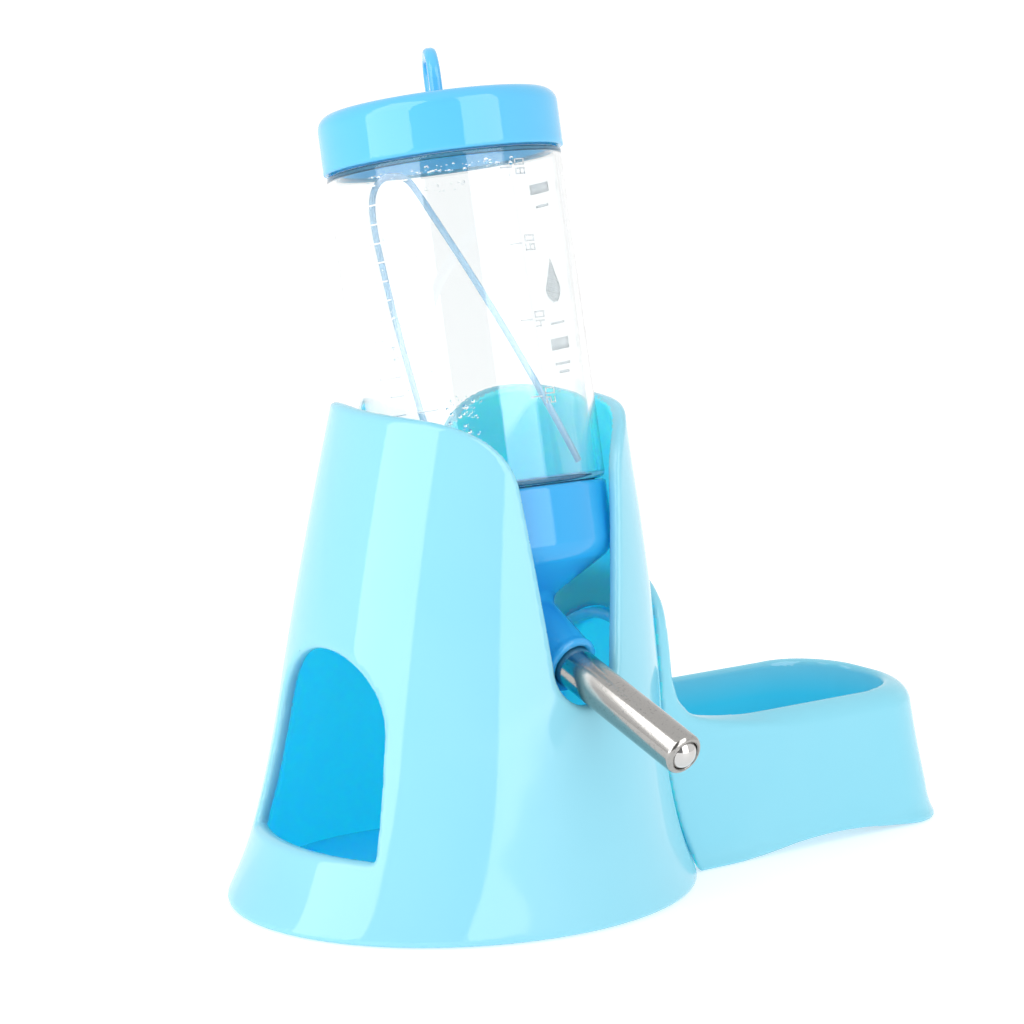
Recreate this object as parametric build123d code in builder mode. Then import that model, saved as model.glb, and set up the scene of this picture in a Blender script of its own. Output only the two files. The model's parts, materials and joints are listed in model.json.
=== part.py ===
"""Small-pet drinking station: a hut stand carries a leaning, upside-down water bottle with a
ball-tipped drinking tube, and a food bowl plugs into one of the hut's two doors.

Millimetres, +Z up.  The origin is the centre of the stand's foot on the ground.  The drinking
tube points to -Y, the food bowl is on the +X side and the open door is on the -X side.
"""

import os
from math import cos, pi, radians, sin, tan

from build123d import *

os.makedirs("parts", exist_ok=True)

# ---- stand: an oval bell, open below, stations are (height, reach to -X, reach to +X, half width Y)
STAND_STATIONS = [
    (0.0, 50.4, 50.2, 39.2),
    (8.0, 45.7, 45.6, 38.3),
    (20.0, 41.6, 41.0, 37.1),
    (30.0, 39.4, 38.9, 36.0),
    (45.0, 37.1, 37.2, 34.3),
    (60.0, 34.7, 35.1, 32.4),
    (75.0, 32.0, 32.2, 30.4),
    (85.0, 30.0, 29.9, 29.1),
    (95.3, 27.8, 27.8, 27.8),
]
FLARE_OUT_PER_MM = 0.60   # how fast the foot spreads just above the ground
STAND_WALL = 2.5
STAND_HEIGHT = STAND_STATIONS[-1][0]

DOOR_SILL = 14.3          # the doors are arches through both X walls
DOOR_SILL_HALF = 17.6
DOOR_SPRING = 36.0
DOOR_SPRING_HALF = 15.2
DOOR_TOP = 51.2

SLOT_BOTTOM_R = 7.6       # the slots are U shapes through both Y walls, open at the rim
SLOT_BOTTOM_Z = 42.4
SLOT_SHOULDER_HALF = 11.9
EAR_CORNER_R = 12.0

FLOOR_Z = 0.0
FLOOR_THICKNESS = 2.4
FLOOR_HALF = (45.6, 35.9)
FLOOR_CHAMFER = 0.3

# ---- food bowl
BOWL_RIM_Z = 29.5
BOWL_NEAR_X = 14.0        # inside the stand, where the stand's outside cuts the bowl away
BOWL_FOOT = (120.3, 20.8, 15.0)    # far end X, half width, corner radius at the ground
BOWL_SKIRT = (119.4, 20.1, 15.0)   # the same just above the flared bottom edge
BOWL_SKIRT_Z = 2.5
BOWL_TOP = (112.2, 18.9, 16.0)
BOWL_WALL = 2.2
CAVITY_HALF_TOP = 15.4
CAVITY_HALF_FLOOR = 13.8
CAVITY_END_CENTRE_X = 92.8
CAVITY_FLOOR_Z = 8.0
UNDERCUT_ARCH = (52.0, 112.0, 1.8)  # from X, to X, rise of the bottom edge between the feet
BOWL_GAP = 0.3            # running gap between the bowl and the stand
FLANGE_WALL = 2.7
FLANGE_HALF = 19.2
FLANGE_SPRING = 50.0
FLANGE_TOP = 60.5
SADDLE = [(27.0, 26.0), (29.2, 17.0), (31.0, 9.5), (34.0, 5.4), (38.0, 3.7), (46.0, 3.1), (62.0, 3.0)]
BOWL_RIM_ROUND = 3.0
PLUG_GAP = 0.35           # between the plug lip and the door's edge
PLUG_WALL = 2.0
PLUG_DEPTH = 1.2          # how far the lip shows inside the stand's wall
PLUG_ROOT = 1.0           # how far the lip runs into the bowl's near wall
OVERRUN = 1.0             # how far a cutting shape runs on past what it cuts
REACH = 70.0              # length of a cutting prism, more than half the stand

# ---- bottle: everything turned about one leaning axis, (radius, height w along the axis)
LEAN = radians(14.09)
COLLAR_TOP = Vector(0, -3.69, 77.84)
BOTTLE_DIR = Vector(0, sin(LEAN), cos(LEAN))
BOTTLE_R = 22.5
BOTTLE_WALL = 1.4
SEAT_GAP = 0.3            # between the drinking head's cup and the bottle's shoulder
NECK_R = 20.3
NECK_BORE_R = 18.9
NECK_BOTTOM_W = -10.2
SHOULDER_W = 63.5
TOP_NECK_R = 21.3
TOP_NECK_BORE_R = 19.9
TOP_NECK_W = 72.0
THROAT_W = (1.9, 3.4)     # where the bore narrows to the necks, in from each shoulder

CAP_R = 23.03
CAP_BORE_R = 21.5
CAP_SKIRT_W = 63.8
CAP_CEILING_W = 73.2
CAP_TOP_W = 75.2
CAP_EDGE_R = 3.0
RING_SEAL_T = 1.0
RING_SEAL_GAP = (0.2, 0.05)   # to the cap's bore, and to its ceiling

LOOP_TURN = 55.0          # about the bottle's axis, from +X
LOOP_HALF = 6.6
LOOP_TOP_W = 85.6
LOOP_THICK = 2.4
LOOP_HOLE = (7.4, 6.6)
LOOP_HOLE_R = 2.4
LOOP_ROOT = 0.5           # how far the loop runs into the cap
LOOP_HOLE_W = 79.6

# ---- drinking head and tube: (radius, t along the tube's axis)
TUBE_TILT = radians(19.38)
TUBE_ORIGIN = Vector(0, -33.3, 47.6)
TUBE_DIR = Vector(0, -cos(TUBE_TILT), -sin(TUBE_TILT))
CUP_R = 22.5
CUP_BORE_R = 20.75
CUP_FLOOR_W = -12.2
CUP_CORNER_W = -13.2
CONE_TOP = (19.4, -15.0)
CONE_BOTTOM = (10.0, -20.6)
CUP_CORNER_RUN = (-1, -0.6)   # direction in which the cup's rounded corner meets the cone
CONE_DRAW = 2.5           # how far the cone draws in again inside the elbow
FUNNEL_TOP_R = 17.0
FUNNEL_BORE_R = 3.2
FUNNEL_FOOT_W = -19.1
JUNCTION_W = -24.0
MOUTH_T = -4.5
MOUTH_LIP = (5.6, 1.4)
ELBOW_MOUTH_R = 5.3
ELBOW_HEEL_R = 7.8
HEEL_T = -23.0
STEEL_R = 4.0
STEEL_BORE_R = 3.5
STEEL_BACK_T = -16.5
STEEL_TIP_T = 28.6
STEEL_LIP_R = 2.85
STEEL_TIP_ROUND = 1.1
STEEL_LIP = (0.5, 1.15)   # how deep the turned-in lip is at its edge and at its root
SOCKET_R = 4.05
BUSH_R = 4.9
BUSH_SPAN = (-16.5, -12.0)
BUSH_GAP = 0.1            # behind the bush and the drinking tube
BALL_R = 3.2
BALL_FREE_GAP = 0.05
GASKET = (18.4, 20.4, -11.9, -10.5)

# ---- hanging tie kept in the bottle: (across, depth, height) in the bottle's own turned frame
TIE_R = 0.65
TIE_TURN = 49.9           # direction of "depth" about the bottle's axis, from +X
TIE_ROUTE = [
    (-8.6, 12.6, 3.0),
    (-11.8, 11.6, 22.0),
    (-14.2, 9.6, 41.0),
    (-15.6, 8.3, 57.4),
    (-12.9, 8.0, 62.8),
    (-7.7, 7.8, 62.6),
    (-4.9, 7.2, 57.2),
    (3.6, 4.7, 39.5),
    (11.6, 3.4, 21.0),
    (18.2, 3.2, 4.0),
]
TIE_ARC_SHARE = 0.45      # part of the shorter run that each arc may use


def turned_plane(origin, direction):
    """Sketch plane through an axis in the YZ plane: local x is +X, local y runs along the axis."""
    return Plane(origin=origin, x_dir=(1, 0, 0), z_dir=Vector(1, 0, 0).cross(direction))


BOTTLE_PLANE = turned_plane(COLLAR_TOP, BOTTLE_DIR)
TUBE_PLANE = turned_plane(TUBE_ORIGIN, TUBE_DIR)
BOTTLE_AXIS = Axis(COLLAR_TOP, BOTTLE_DIR)
TUBE_AXIS = Axis(TUBE_ORIGIN, TUBE_DIR)


def bottle_point(x, y, w):
    """Point given across X, across the leaning axis in the YZ plane, and along the axis."""
    across = Vector(0, cos(LEAN), -sin(LEAN))
    return COLLAR_TOP + Vector(1, 0, 0) * x + across * y + BOTTLE_DIR * w


def oval_section(z, minus_x, plus_x, half_y):
    """Level section of the stand: two half ellipses that meet on the Y axis."""
    with BuildSketch(Plane.XY.offset(z)) as section:
        with BuildLine():
            EllipticalCenterArc((0, 0), plus_x, half_y, start_angle=-90, arc_size=180)
            EllipticalCenterArc((0, 0), minus_x, half_y, start_angle=90, arc_size=180)
        make_face()
    return section.sketch


def bell(grow, overrun=0.0):
    """The stand's outside as a solid, grown sideways, and run on past both of its ends."""
    low = STAND_STATIONS[0]
    high = STAND_STATIONS[-1]
    stations = list(STAND_STATIONS)
    if overrun:
        spread = FLARE_OUT_PER_MM * overrun
        stations.insert(0, (low[0] - overrun, low[1] + spread, low[2] + spread, low[3]))
        stations.append((high[0] + overrun, *high[1:]))
    with BuildPart() as solid:
        loft([oval_section(z, *[reach + grow for reach in reaches]) for z, *reaches in stations])
    return solid.part


def arch_prism(sill, sill_half, spring, spring_half, top, inset=0.0):
    """Arch outline in the YZ plane, drawn in by inset, as a prism out along +X."""
    with BuildPart() as prism:
        with BuildSketch(Plane.YZ):
            with BuildLine():
                EllipticalCenterArc((0, spring), spring_half - inset, top - spring - inset, arc_size=180)
                Polyline(
                    (-(spring_half - inset), spring),
                    (-(sill_half - inset), sill + inset),
                    (sill_half - inset, sill + inset),
                    (spring_half - inset, spring),
                )
            make_face()
        extrude(amount=REACH)
    return prism.part


def bowl_outline(end_x, half, corner_r, inset=0.0):
    """Plan of the bowl: a long rectangle with rounded far corners, drawn in by inset."""
    length = end_x - inset - BOWL_NEAR_X
    with Locations((BOWL_NEAR_X + length / 2, 0)):
        RectangleRounded(length, 2 * (half - inset), corner_r - inset)


def cavity_outline(half):
    """Plan of the food cavity: straight sides and a half-round far end."""
    length = CAVITY_END_CENTRE_X + half - BOWL_NEAR_X
    with Locations((BOWL_NEAR_X + length / 2, 0)):
        SlotOverall(length, 2 * half)


def revolved_ring(plane, axis, outline):
    """Solid of revolution from a closed outline of (radius, along) points."""
    with BuildPart() as ring:
        with BuildSketch(plane):
            with BuildLine():
                Polyline(*outline, close=True)
            make_face()
        revolve(axis=axis)
    return ring.part


# ---------------------------------------------------------------- stand shell
stand_outside = bell(0.0)
stand_inside = bell(-STAND_WALL, overrun=OVERRUN)

with BuildPart() as stand_shell:
    add(stand_outside)
    add(stand_inside, mode=Mode.SUBTRACT)
    with BuildSketch(Plane.YZ):
        with BuildLine():
            ThreePointArc((-DOOR_SPRING_HALF, DOOR_SPRING), (0, DOOR_TOP), (DOOR_SPRING_HALF, DOOR_SPRING))
            Polyline(
                (DOOR_SPRING_HALF, DOOR_SPRING),
                (DOOR_SILL_HALF, DOOR_SILL),
                (-DOOR_SILL_HALF, DOOR_SILL),
                (-DOOR_SPRING_HALF, DOOR_SPRING),
            )
        make_face()
    extrude(amount=REACH, both=True, mode=Mode.SUBTRACT)
    slot_mid = SLOT_BOTTOM_Z + SLOT_BOTTOM_R
    corner_z = STAND_HEIGHT - EAR_CORNER_R
    corner_mid = EAR_CORNER_R * (1 - cos(radians(45)))
    ear_x = SLOT_SHOULDER_HALF + EAR_CORNER_R
    with BuildSketch(Plane.XZ):
        with BuildLine():
            ThreePointArc((-SLOT_BOTTOM_R, slot_mid), (0, SLOT_BOTTOM_Z), (SLOT_BOTTOM_R, slot_mid))
            Line((SLOT_BOTTOM_R, slot_mid), (SLOT_SHOULDER_HALF, corner_z))
            ThreePointArc(
                (SLOT_SHOULDER_HALF, corner_z),
                (SLOT_SHOULDER_HALF + corner_mid, STAND_HEIGHT - corner_mid),
                (ear_x, STAND_HEIGHT),
            )
            Polyline(
                (ear_x, STAND_HEIGHT),
                (ear_x, STAND_HEIGHT + OVERRUN),
                (-ear_x, STAND_HEIGHT + OVERRUN),
                (-ear_x, STAND_HEIGHT),
            )
            ThreePointArc(
                (-ear_x, STAND_HEIGHT),
                (-SLOT_SHOULDER_HALF - corner_mid, STAND_HEIGHT - corner_mid),
                (-SLOT_SHOULDER_HALF, corner_z),
            )
            Line((-SLOT_SHOULDER_HALF, corner_z), (-SLOT_BOTTOM_R, slot_mid))
        make_face()
    extrude(amount=REACH, both=True, mode=Mode.SUBTRACT)

# ---------------------------------------------------------------- floor plate
with BuildPart() as floor_plate:
    with BuildSketch(Plane.XY.offset(FLOOR_Z)):
        Ellipse(*FLOOR_HALF)
    extrude(amount=FLOOR_THICKNESS)
    chamfer(floor_plate.edges().group_by(Axis.Z)[-1], FLOOR_CHAMFER)

# ---------------------------------------------------------------- food bowl
stand_clearance = bell(BOWL_GAP, overrun=OVERRUN)
near_wall_face = bell(BOWL_GAP + FLANGE_WALL, overrun=OVERRUN)
flange_prism = arch_prism(0, FLANGE_HALF, FLANGE_SPRING, FLANGE_HALF, FLANGE_TOP)


def station_at(z):
    """The stand's outline sizes at a height, between its stations."""
    for (z0, *low), (z1, *high) in zip(STAND_STATIONS, STAND_STATIONS[1:]):
        if z <= z1:
            share = (z - z0) / (z1 - z0)
            return [a + share * (b - a) for a, b in zip(low, high)]
    return STAND_STATIONS[-1][1:]


with BuildPart() as saddle_build:
    loft([oval_section(z, *[reach + grow for reach in station_at(z)]) for z, grow in SADDLE], ruled=True)
    add(flange_prism, mode=Mode.INTERSECT)
saddle = saddle_build.part

with BuildPart() as cavity_build:
    with BuildSketch(Plane.XY.offset(CAVITY_FLOOR_Z)):
        cavity_outline(CAVITY_HALF_FLOOR)
    with BuildSketch(Plane.XY.offset(BOWL_RIM_Z)):
        cavity_outline(CAVITY_HALF_TOP)
    loft()
    extrude(cavity_build.faces().sort_by(Axis.Z)[-1], amount=REACH)
    add(near_wall_face, mode=Mode.SUBTRACT)
cavity = cavity_build.part

with BuildPart() as cup_build:
    with BuildSketch(Plane.XY.offset(CAVITY_FLOOR_Z - BOWL_WALL)):
        cavity_outline(CAVITY_HALF_FLOOR + BOWL_WALL)
    with BuildSketch(Plane.XY.offset(BOWL_RIM_Z)):
        cavity_outline(CAVITY_HALF_TOP + BOWL_WALL)
    loft()
cup_outside = cup_build.part

with BuildPart() as hollow_build:
    with BuildSketch(Plane.XY.offset(-OVERRUN)):
        bowl_outline(*BOWL_SKIRT, inset=BOWL_WALL)
    with BuildSketch(Plane.XY.offset(BOWL_RIM_Z - BOWL_WALL)):
        bowl_outline(*BOWL_TOP, inset=BOWL_WALL)
    loft()
    add(cup_outside, mode=Mode.SUBTRACT)
    add(near_wall_face, mode=Mode.SUBTRACT)
underside_hollow = hollow_build.part

plug_outline = (DOOR_SILL, DOOR_SILL_HALF, DOOR_SPRING, DOOR_SPRING_HALF, DOOR_TOP)
with BuildPart() as plug_build:
    add(arch_prism(*plug_outline, inset=PLUG_GAP))
    add(arch_prism(*plug_outline, inset=PLUG_GAP + PLUG_WALL), mode=Mode.SUBTRACT)
    add(bell(-STAND_WALL - PLUG_DEPTH), mode=Mode.SUBTRACT)
    add(bell(BOWL_GAP + PLUG_ROOT), mode=Mode.INTERSECT)
plug_lip = plug_build.part

with BuildPart() as food_bowl:
    with BuildSketch(Plane.XY):
        bowl_outline(*BOWL_FOOT)
    with BuildSketch(Plane.XY.offset(BOWL_SKIRT_Z)):
        bowl_outline(*BOWL_SKIRT)
    with BuildSketch(Plane.XY.offset(BOWL_RIM_Z)):
        bowl_outline(*BOWL_TOP)
    loft(ruled=True)
    fillet(food_bowl.edges().group_by(Axis.Z)[-1], BOWL_RIM_ROUND)
    add(saddle)
    add(stand_clearance, mode=Mode.SUBTRACT)
    add(cavity, mode=Mode.SUBTRACT)
    add(underside_hollow, mode=Mode.SUBTRACT)
    arch_from, arch_to, arch_rise = UNDERCUT_ARCH
    with BuildSketch(Plane.XZ):
        with BuildLine():
            ThreePointArc((arch_from, 0), ((arch_from + arch_to) / 2, arch_rise), (arch_to, 0))
            Polyline((arch_to, 0), (arch_to, -OVERRUN), (arch_from, -OVERRUN), (arch_from, 0))
        make_face()
    extrude(amount=REACH, both=True, mode=Mode.SUBTRACT)
    add(plug_lip)

# ---------------------------------------------------------------- bottle tube
with BuildPart() as bottle_tube:
    with BuildSketch(BOTTLE_PLANE):
        with BuildLine():
            Polyline(
                (NECK_BORE_R, NECK_BOTTOM_W),
                (NECK_R, NECK_BOTTOM_W),
                (NECK_R, SEAT_GAP),
                (BOTTLE_R, SEAT_GAP),
                (BOTTLE_R, SHOULDER_W),
                (TOP_NECK_R, SHOULDER_W),
                (TOP_NECK_R, TOP_NECK_W),
                (TOP_NECK_BORE_R, TOP_NECK_W),
                (TOP_NECK_BORE_R, SHOULDER_W - THROAT_W[0]),
                (BOTTLE_R - BOTTLE_WALL, SHOULDER_W - THROAT_W[1]),
                (BOTTLE_R - BOTTLE_WALL, THROAT_W[1]),
                (NECK_BORE_R, THROAT_W[0]),
                close=True,
            )
        make_face()
    revolve(axis=BOTTLE_AXIS)

# ---------------------------------------------------------------- top cap with its hanging loop
loop_across = bottle_point(cos(radians(LOOP_TURN)), sin(radians(LOOP_TURN)), 0) - COLLAR_TOP
LOOP_PLANE = Plane(origin=COLLAR_TOP, x_dir=loop_across, z_dir=loop_across.cross(BOTTLE_DIR))

with BuildPart() as top_cap:
    with BuildSketch(BOTTLE_PLANE):
        with BuildLine():
            Polyline(
                (0, CAP_TOP_W),
                (0, CAP_CEILING_W),
                (CAP_BORE_R, CAP_CEILING_W),
                (CAP_BORE_R, CAP_SKIRT_W),
            )
            Line((CAP_BORE_R, CAP_SKIRT_W), (CAP_R, CAP_SKIRT_W))
            Line((CAP_R, CAP_SKIRT_W), (CAP_R, CAP_TOP_W - CAP_EDGE_R))
            RadiusArc((CAP_R, CAP_TOP_W - CAP_EDGE_R), (CAP_R - CAP_EDGE_R, CAP_TOP_W), -CAP_EDGE_R)
            Line((CAP_R - CAP_EDGE_R, CAP_TOP_W), (0, CAP_TOP_W))
        make_face()
    revolve(axis=BOTTLE_AXIS)
    with BuildSketch(LOOP_PLANE):
        with BuildLine():
            arch_base = LOOP_TOP_W - LOOP_HALF
            ThreePointArc((-LOOP_HALF, arch_base), (0, LOOP_TOP_W), (LOOP_HALF, arch_base))
            Polyline(
                (LOOP_HALF, arch_base),
                (LOOP_HALF, CAP_TOP_W - LOOP_ROOT),
                (-LOOP_HALF, CAP_TOP_W - LOOP_ROOT),
                (-LOOP_HALF, arch_base),
            )
        make_face()
        with Locations((0, LOOP_HOLE_W)):
            RectangleRounded(*LOOP_HOLE, LOOP_HOLE_R, mode=Mode.SUBTRACT)
    extrude(amount=LOOP_THICK / 2, both=True)

# ---------------------------------------------------------------- cap seal and neck gasket
with BuildPart() as cap_seal:
    seal_beside, seal_above = RING_SEAL_GAP
    add(
        revolved_ring(
            BOTTLE_PLANE,
            BOTTLE_AXIS,
            [
                (TOP_NECK_BORE_R, CAP_CEILING_W - seal_above),
                (TOP_NECK_BORE_R, CAP_CEILING_W - RING_SEAL_T),
                (CAP_BORE_R - seal_beside, CAP_CEILING_W - RING_SEAL_T),
                (CAP_BORE_R - seal_beside, CAP_CEILING_W - seal_above),
            ],
        )
    )

with BuildPart() as neck_gasket:
    gasket_in, gasket_out, gasket_low, gasket_high = GASKET
    add(
        revolved_ring(
            BOTTLE_PLANE,
            BOTTLE_AXIS,
            [
                (gasket_in, gasket_low),
                (gasket_out, gasket_low),
                (gasket_out, gasket_high),
                (gasket_in, gasket_high),
            ],
        )
    )

# ---------------------------------------------------------------- drinking head
with BuildPart() as spout_head:
    with BuildSketch(BOTTLE_PLANE):
        with BuildLine():
            Line((0, 0), (CUP_R, 0))
            Line((CUP_R, 0), (CUP_R, CUP_CORNER_W))
            Spline((CUP_R, CUP_CORNER_W), CONE_TOP, tangents=[(0, -1), CUP_CORNER_RUN])
            Polyline(
                CONE_TOP,
                CONE_BOTTOM,
                (CONE_BOTTOM[0] - CONE_DRAW, JUNCTION_W),
                (0, JUNCTION_W),
                (0, 0),
            )
        make_face()
    revolve(axis=BOTTLE_AXIS)
    with BuildSketch(TUBE_PLANE):
        with BuildLine():
            lip_r, lip_length = MOUTH_LIP
            Polyline(
                (0, HEEL_T - ELBOW_HEEL_R),
                (0, MOUTH_T),
                (lip_r, MOUTH_T),
                (lip_r, MOUTH_T - lip_length),
                (ELBOW_MOUTH_R, MOUTH_T - lip_length),
                (ELBOW_HEEL_R, HEEL_T),
            )
            RadiusArc((ELBOW_HEEL_R, HEEL_T), (0, HEEL_T - ELBOW_HEEL_R), ELBOW_HEEL_R)
        make_face()
    revolve(axis=TUBE_AXIS)
    with BuildSketch(BOTTLE_PLANE):
        with BuildLine():
            Polyline(
                (0, OVERRUN),
                (CUP_BORE_R, OVERRUN),
                (CUP_BORE_R, CUP_FLOOR_W),
                (FUNNEL_TOP_R, CUP_FLOOR_W),
                (FUNNEL_BORE_R, FUNNEL_FOOT_W),
                (FUNNEL_BORE_R, JUNCTION_W),
                (0, JUNCTION_W),
                close=True,
            )
        make_face()
    revolve(axis=BOTTLE_AXIS, mode=Mode.SUBTRACT)
    with BuildSketch(TUBE_PLANE):
        with BuildLine():
            bush_back, bush_front = BUSH_SPAN
            Polyline(
                (0, MOUTH_T + OVERRUN),
                (SOCKET_R, MOUTH_T + OVERRUN),
                (SOCKET_R, bush_front),
                (BUSH_R, bush_front),
                (BUSH_R, bush_back - BUSH_GAP),
                (STEEL_LIP_R, bush_back - BUSH_GAP),
                (STEEL_LIP_R, HEEL_T),
                (0, HEEL_T),
                close=True,
            )
        make_face()
    revolve(axis=TUBE_AXIS, mode=Mode.SUBTRACT)

with BuildPart() as tube_seal:
    add(
        revolved_ring(
            TUBE_PLANE,
            TUBE_AXIS,
            [(STEEL_R, bush_back), (BUSH_R, bush_back), (BUSH_R, bush_front), (STEEL_R, bush_front)],
        )
    )

# ---------------------------------------------------------------- steel drinking tube and balls
with BuildPart() as drinking_tube:
    with BuildSketch(TUBE_PLANE):
        with BuildLine():
            tip_start = STEEL_TIP_T - STEEL_TIP_ROUND
            Polyline(
                (STEEL_LIP_R, STEEL_TIP_T),
                (STEEL_LIP_R, STEEL_TIP_T - STEEL_LIP[0]),
                (STEEL_BORE_R, STEEL_TIP_T - STEEL_LIP[1]),
                (STEEL_BORE_R, STEEL_BACK_T),
                (STEEL_R, STEEL_BACK_T),
                (STEEL_R, tip_start),
            )
            RadiusArc((STEEL_R, tip_start), (STEEL_R - STEEL_TIP_ROUND, STEEL_TIP_T), -STEEL_TIP_ROUND)
            Line((STEEL_R - STEEL_TIP_ROUND, STEEL_TIP_T), (STEEL_LIP_R, STEEL_TIP_T))
        make_face()
    revolve(axis=TUBE_AXIS)

ball_seat = (BALL_R**2 - STEEL_LIP_R**2) ** 0.5
tip_ball_t = STEEL_TIP_T - STEEL_LIP[0] - ball_seat - BALL_FREE_GAP
check_ball_t = tip_ball_t - 2 * BALL_R - BALL_FREE_GAP

with BuildPart() as tip_ball:
    with Locations(TUBE_ORIGIN + TUBE_DIR * tip_ball_t):
        Sphere(BALL_R)

with BuildPart() as check_ball:
    with Locations(TUBE_ORIGIN + TUBE_DIR * check_ball_t):
        Sphere(BALL_R)


# ---------------------------------------------------------------- hanging tie in the bottle
def tie_point(across, depth, w):
    """Point of the tie's route, turned about the bottle's axis to its place."""
    turn = radians(TIE_TURN)
    return bottle_point(depth * cos(turn) + across * sin(turn), depth * sin(turn) - across * cos(turn), w)


tie_points = [tie_point(*p) for p in TIE_ROUTE]
tie_radii = []
for before, here, after in zip(tie_points, tie_points[1:], tie_points[2:]):
    turn_angle = (here - before).get_angle(after - here)
    shorter = min((here - before).length, (after - here).length)
    tie_radii.append(TIE_ARC_SHARE * shorter / tan(radians(turn_angle / 2)))
print("tie radii, mm:", [round(r, 1) for r in tie_radii])

with BuildPart() as tie_cord:
    with BuildLine() as tie_path:
        FilletPolyline(*tie_points, radius=tie_radii)
    with BuildSketch(Plane(origin=tie_path.line @ 0, z_dir=tie_path.line % 0)):
        Circle(TIE_R)
    sweep()
tie_length = tie_path.wire().length
tie_volume_ratio = tie_cord.part.volume / (pi * TIE_R**2 * tie_length)
print("tie length, mm:", round(tie_length, 1))
print("tie volume over section times length:", round(tie_volume_ratio, 4))

# ---------------------------------------------------------------- one STEP file for each piece
pieces = {
    "stand_shell": stand_shell,
    "floor_plate": floor_plate,
    "food_bowl": food_bowl,
    "bottle_tube": bottle_tube,
    "top_cap": top_cap,
    "cap_seal": cap_seal,
    "neck_gasket": neck_gasket,
    "spout_head": spout_head,
    "tube_seal": tube_seal,
    "drinking_tube": drinking_tube,
    "tip_ball": tip_ball,
    "check_ball": check_ball,
    "tie_cord": tie_cord,
}
for piece_name, piece in pieces.items():
    piece.part.label = piece_name
    export_step(piece.part, f"parts/{piece_name}.step")
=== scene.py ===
"""Small-pet drinking station: a hut stand, a leaning bottle with a ball-tipped drinking tube and
a plug-in food bowl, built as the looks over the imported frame.

Meshes are in metres.  Shapes are worked out in millimetres, in the frame's own axes or along the
bottle's and the drinking tube's axes, and brought to metres when a mesh is made.
"""

import json
import math
from functools import reduce

import bpy
import numpy as np
from mathutils import Matrix, Vector


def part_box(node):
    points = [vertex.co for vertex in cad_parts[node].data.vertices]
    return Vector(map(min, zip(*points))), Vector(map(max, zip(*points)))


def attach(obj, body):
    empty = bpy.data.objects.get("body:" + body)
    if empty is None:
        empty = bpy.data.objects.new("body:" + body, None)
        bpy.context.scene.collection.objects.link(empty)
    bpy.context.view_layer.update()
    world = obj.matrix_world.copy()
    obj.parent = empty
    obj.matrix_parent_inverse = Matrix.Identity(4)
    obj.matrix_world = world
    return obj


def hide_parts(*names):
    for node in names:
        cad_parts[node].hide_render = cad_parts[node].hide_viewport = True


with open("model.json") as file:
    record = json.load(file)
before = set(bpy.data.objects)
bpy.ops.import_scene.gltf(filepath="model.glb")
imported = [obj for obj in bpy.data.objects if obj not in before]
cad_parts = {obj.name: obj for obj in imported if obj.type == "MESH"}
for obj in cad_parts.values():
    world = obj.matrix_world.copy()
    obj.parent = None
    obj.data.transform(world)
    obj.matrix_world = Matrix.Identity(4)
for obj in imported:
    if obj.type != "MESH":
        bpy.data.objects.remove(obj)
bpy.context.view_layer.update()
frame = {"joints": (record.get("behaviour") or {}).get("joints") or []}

MM = 0.001
joints = {j["name"]: j for j in frame["joints"]}


# ------------------------------------------------------------------ sizes and places
def box_mm(node):
    """Lowest and highest corner of a frame node, in millimetres."""
    low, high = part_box(node)
    return np.array(low) / MM, np.array(high) / MM


def axis_frame(origin, direction):
    """Matrix in metres whose Z runs along an axis in the YZ plane and whose X is the frame's X."""
    z = Vector(direction).normalized()
    x = Vector((1, 0, 0))
    y = z.cross(x)
    turn = Matrix((x, y, z)).transposed().to_4x4()
    return Matrix.Translation(Vector(origin)) @ turn


FRAME_AXES = Matrix.Identity(4)
turn_joint = joints["bottle_turn"]
COLLAR_TOP = Vector(turn_joint["pos_m"])
BOTTLE_AXES = axis_frame(COLLAR_TOP, turn_joint["axis"])
TUBE_DIR = -Vector(joints["tip_press"]["axis"]).normalized()
tip_low, tip_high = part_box("tip_ball")
check_low, check_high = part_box("check_ball")
TIP_BALL_AT = (tip_low + tip_high) / 2
CHECK_BALL_AT = (check_low + check_high) / 2
BALL_SHAVE = 0.005        # keeps the tip ball's mesh inside the frame's box
BALL_R = (tip_high.x - tip_low.x) / 2 / MM - BALL_SHAVE
TIP_BALL_T = 26.595       # the tip ball's centre along the tube's own axis
TUBE_AXES = axis_frame(TIP_BALL_AT - TUBE_DIR * TIP_BALL_T * MM, TUBE_DIR)
TUBE_LEAN = math.atan2(TUBE_DIR.y, TUBE_DIR.z)

stand_low, stand_high = box_mm("stand_shell")
STAND_TOP = stand_high[2]
STAND_WALL = 2.9
# height, reach to -X, reach to +X, half width Y
STAND_STATIONS = np.array([
    (0.0, -stand_low[0], stand_high[0], stand_high[1]),
    (8.0, 45.7, 45.6, 38.3),
    (20.0, 41.6, 41.0, 37.1),
    (30.0, 39.4, 38.9, 36.0),
    (45.0, 37.1, 37.2, 34.3),
    (60.0, 34.7, 35.1, 32.4),
    (75.0, 32.0, 32.2, 30.4),
    (85.0, 30.0, 29.9, 29.1),
    (STAND_TOP, 27.8, 27.8, 27.8),
])
DOOR_SILL, DOOR_SILL_HALF = 14.3, 17.6
DOOR_SPRING, DOOR_R = 36.0, 15.2
DOOR_CORNER_R = 0.8
SLOT_BOTTOM_Z, SLOT_R, SLOT_SHOULDER_HALF = 42.4, 7.6, 11.9
EAR_CORNER_R = 12.0
STAND_EDGE_R = 1.2
INSIDE_SHARE = 0.88       # faces deeper in the wall than this share of it count as the inside and take its painted light

bowl_low, bowl_high = box_mm("food_bowl")
BOWL_RIM_Z = 29.5
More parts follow.
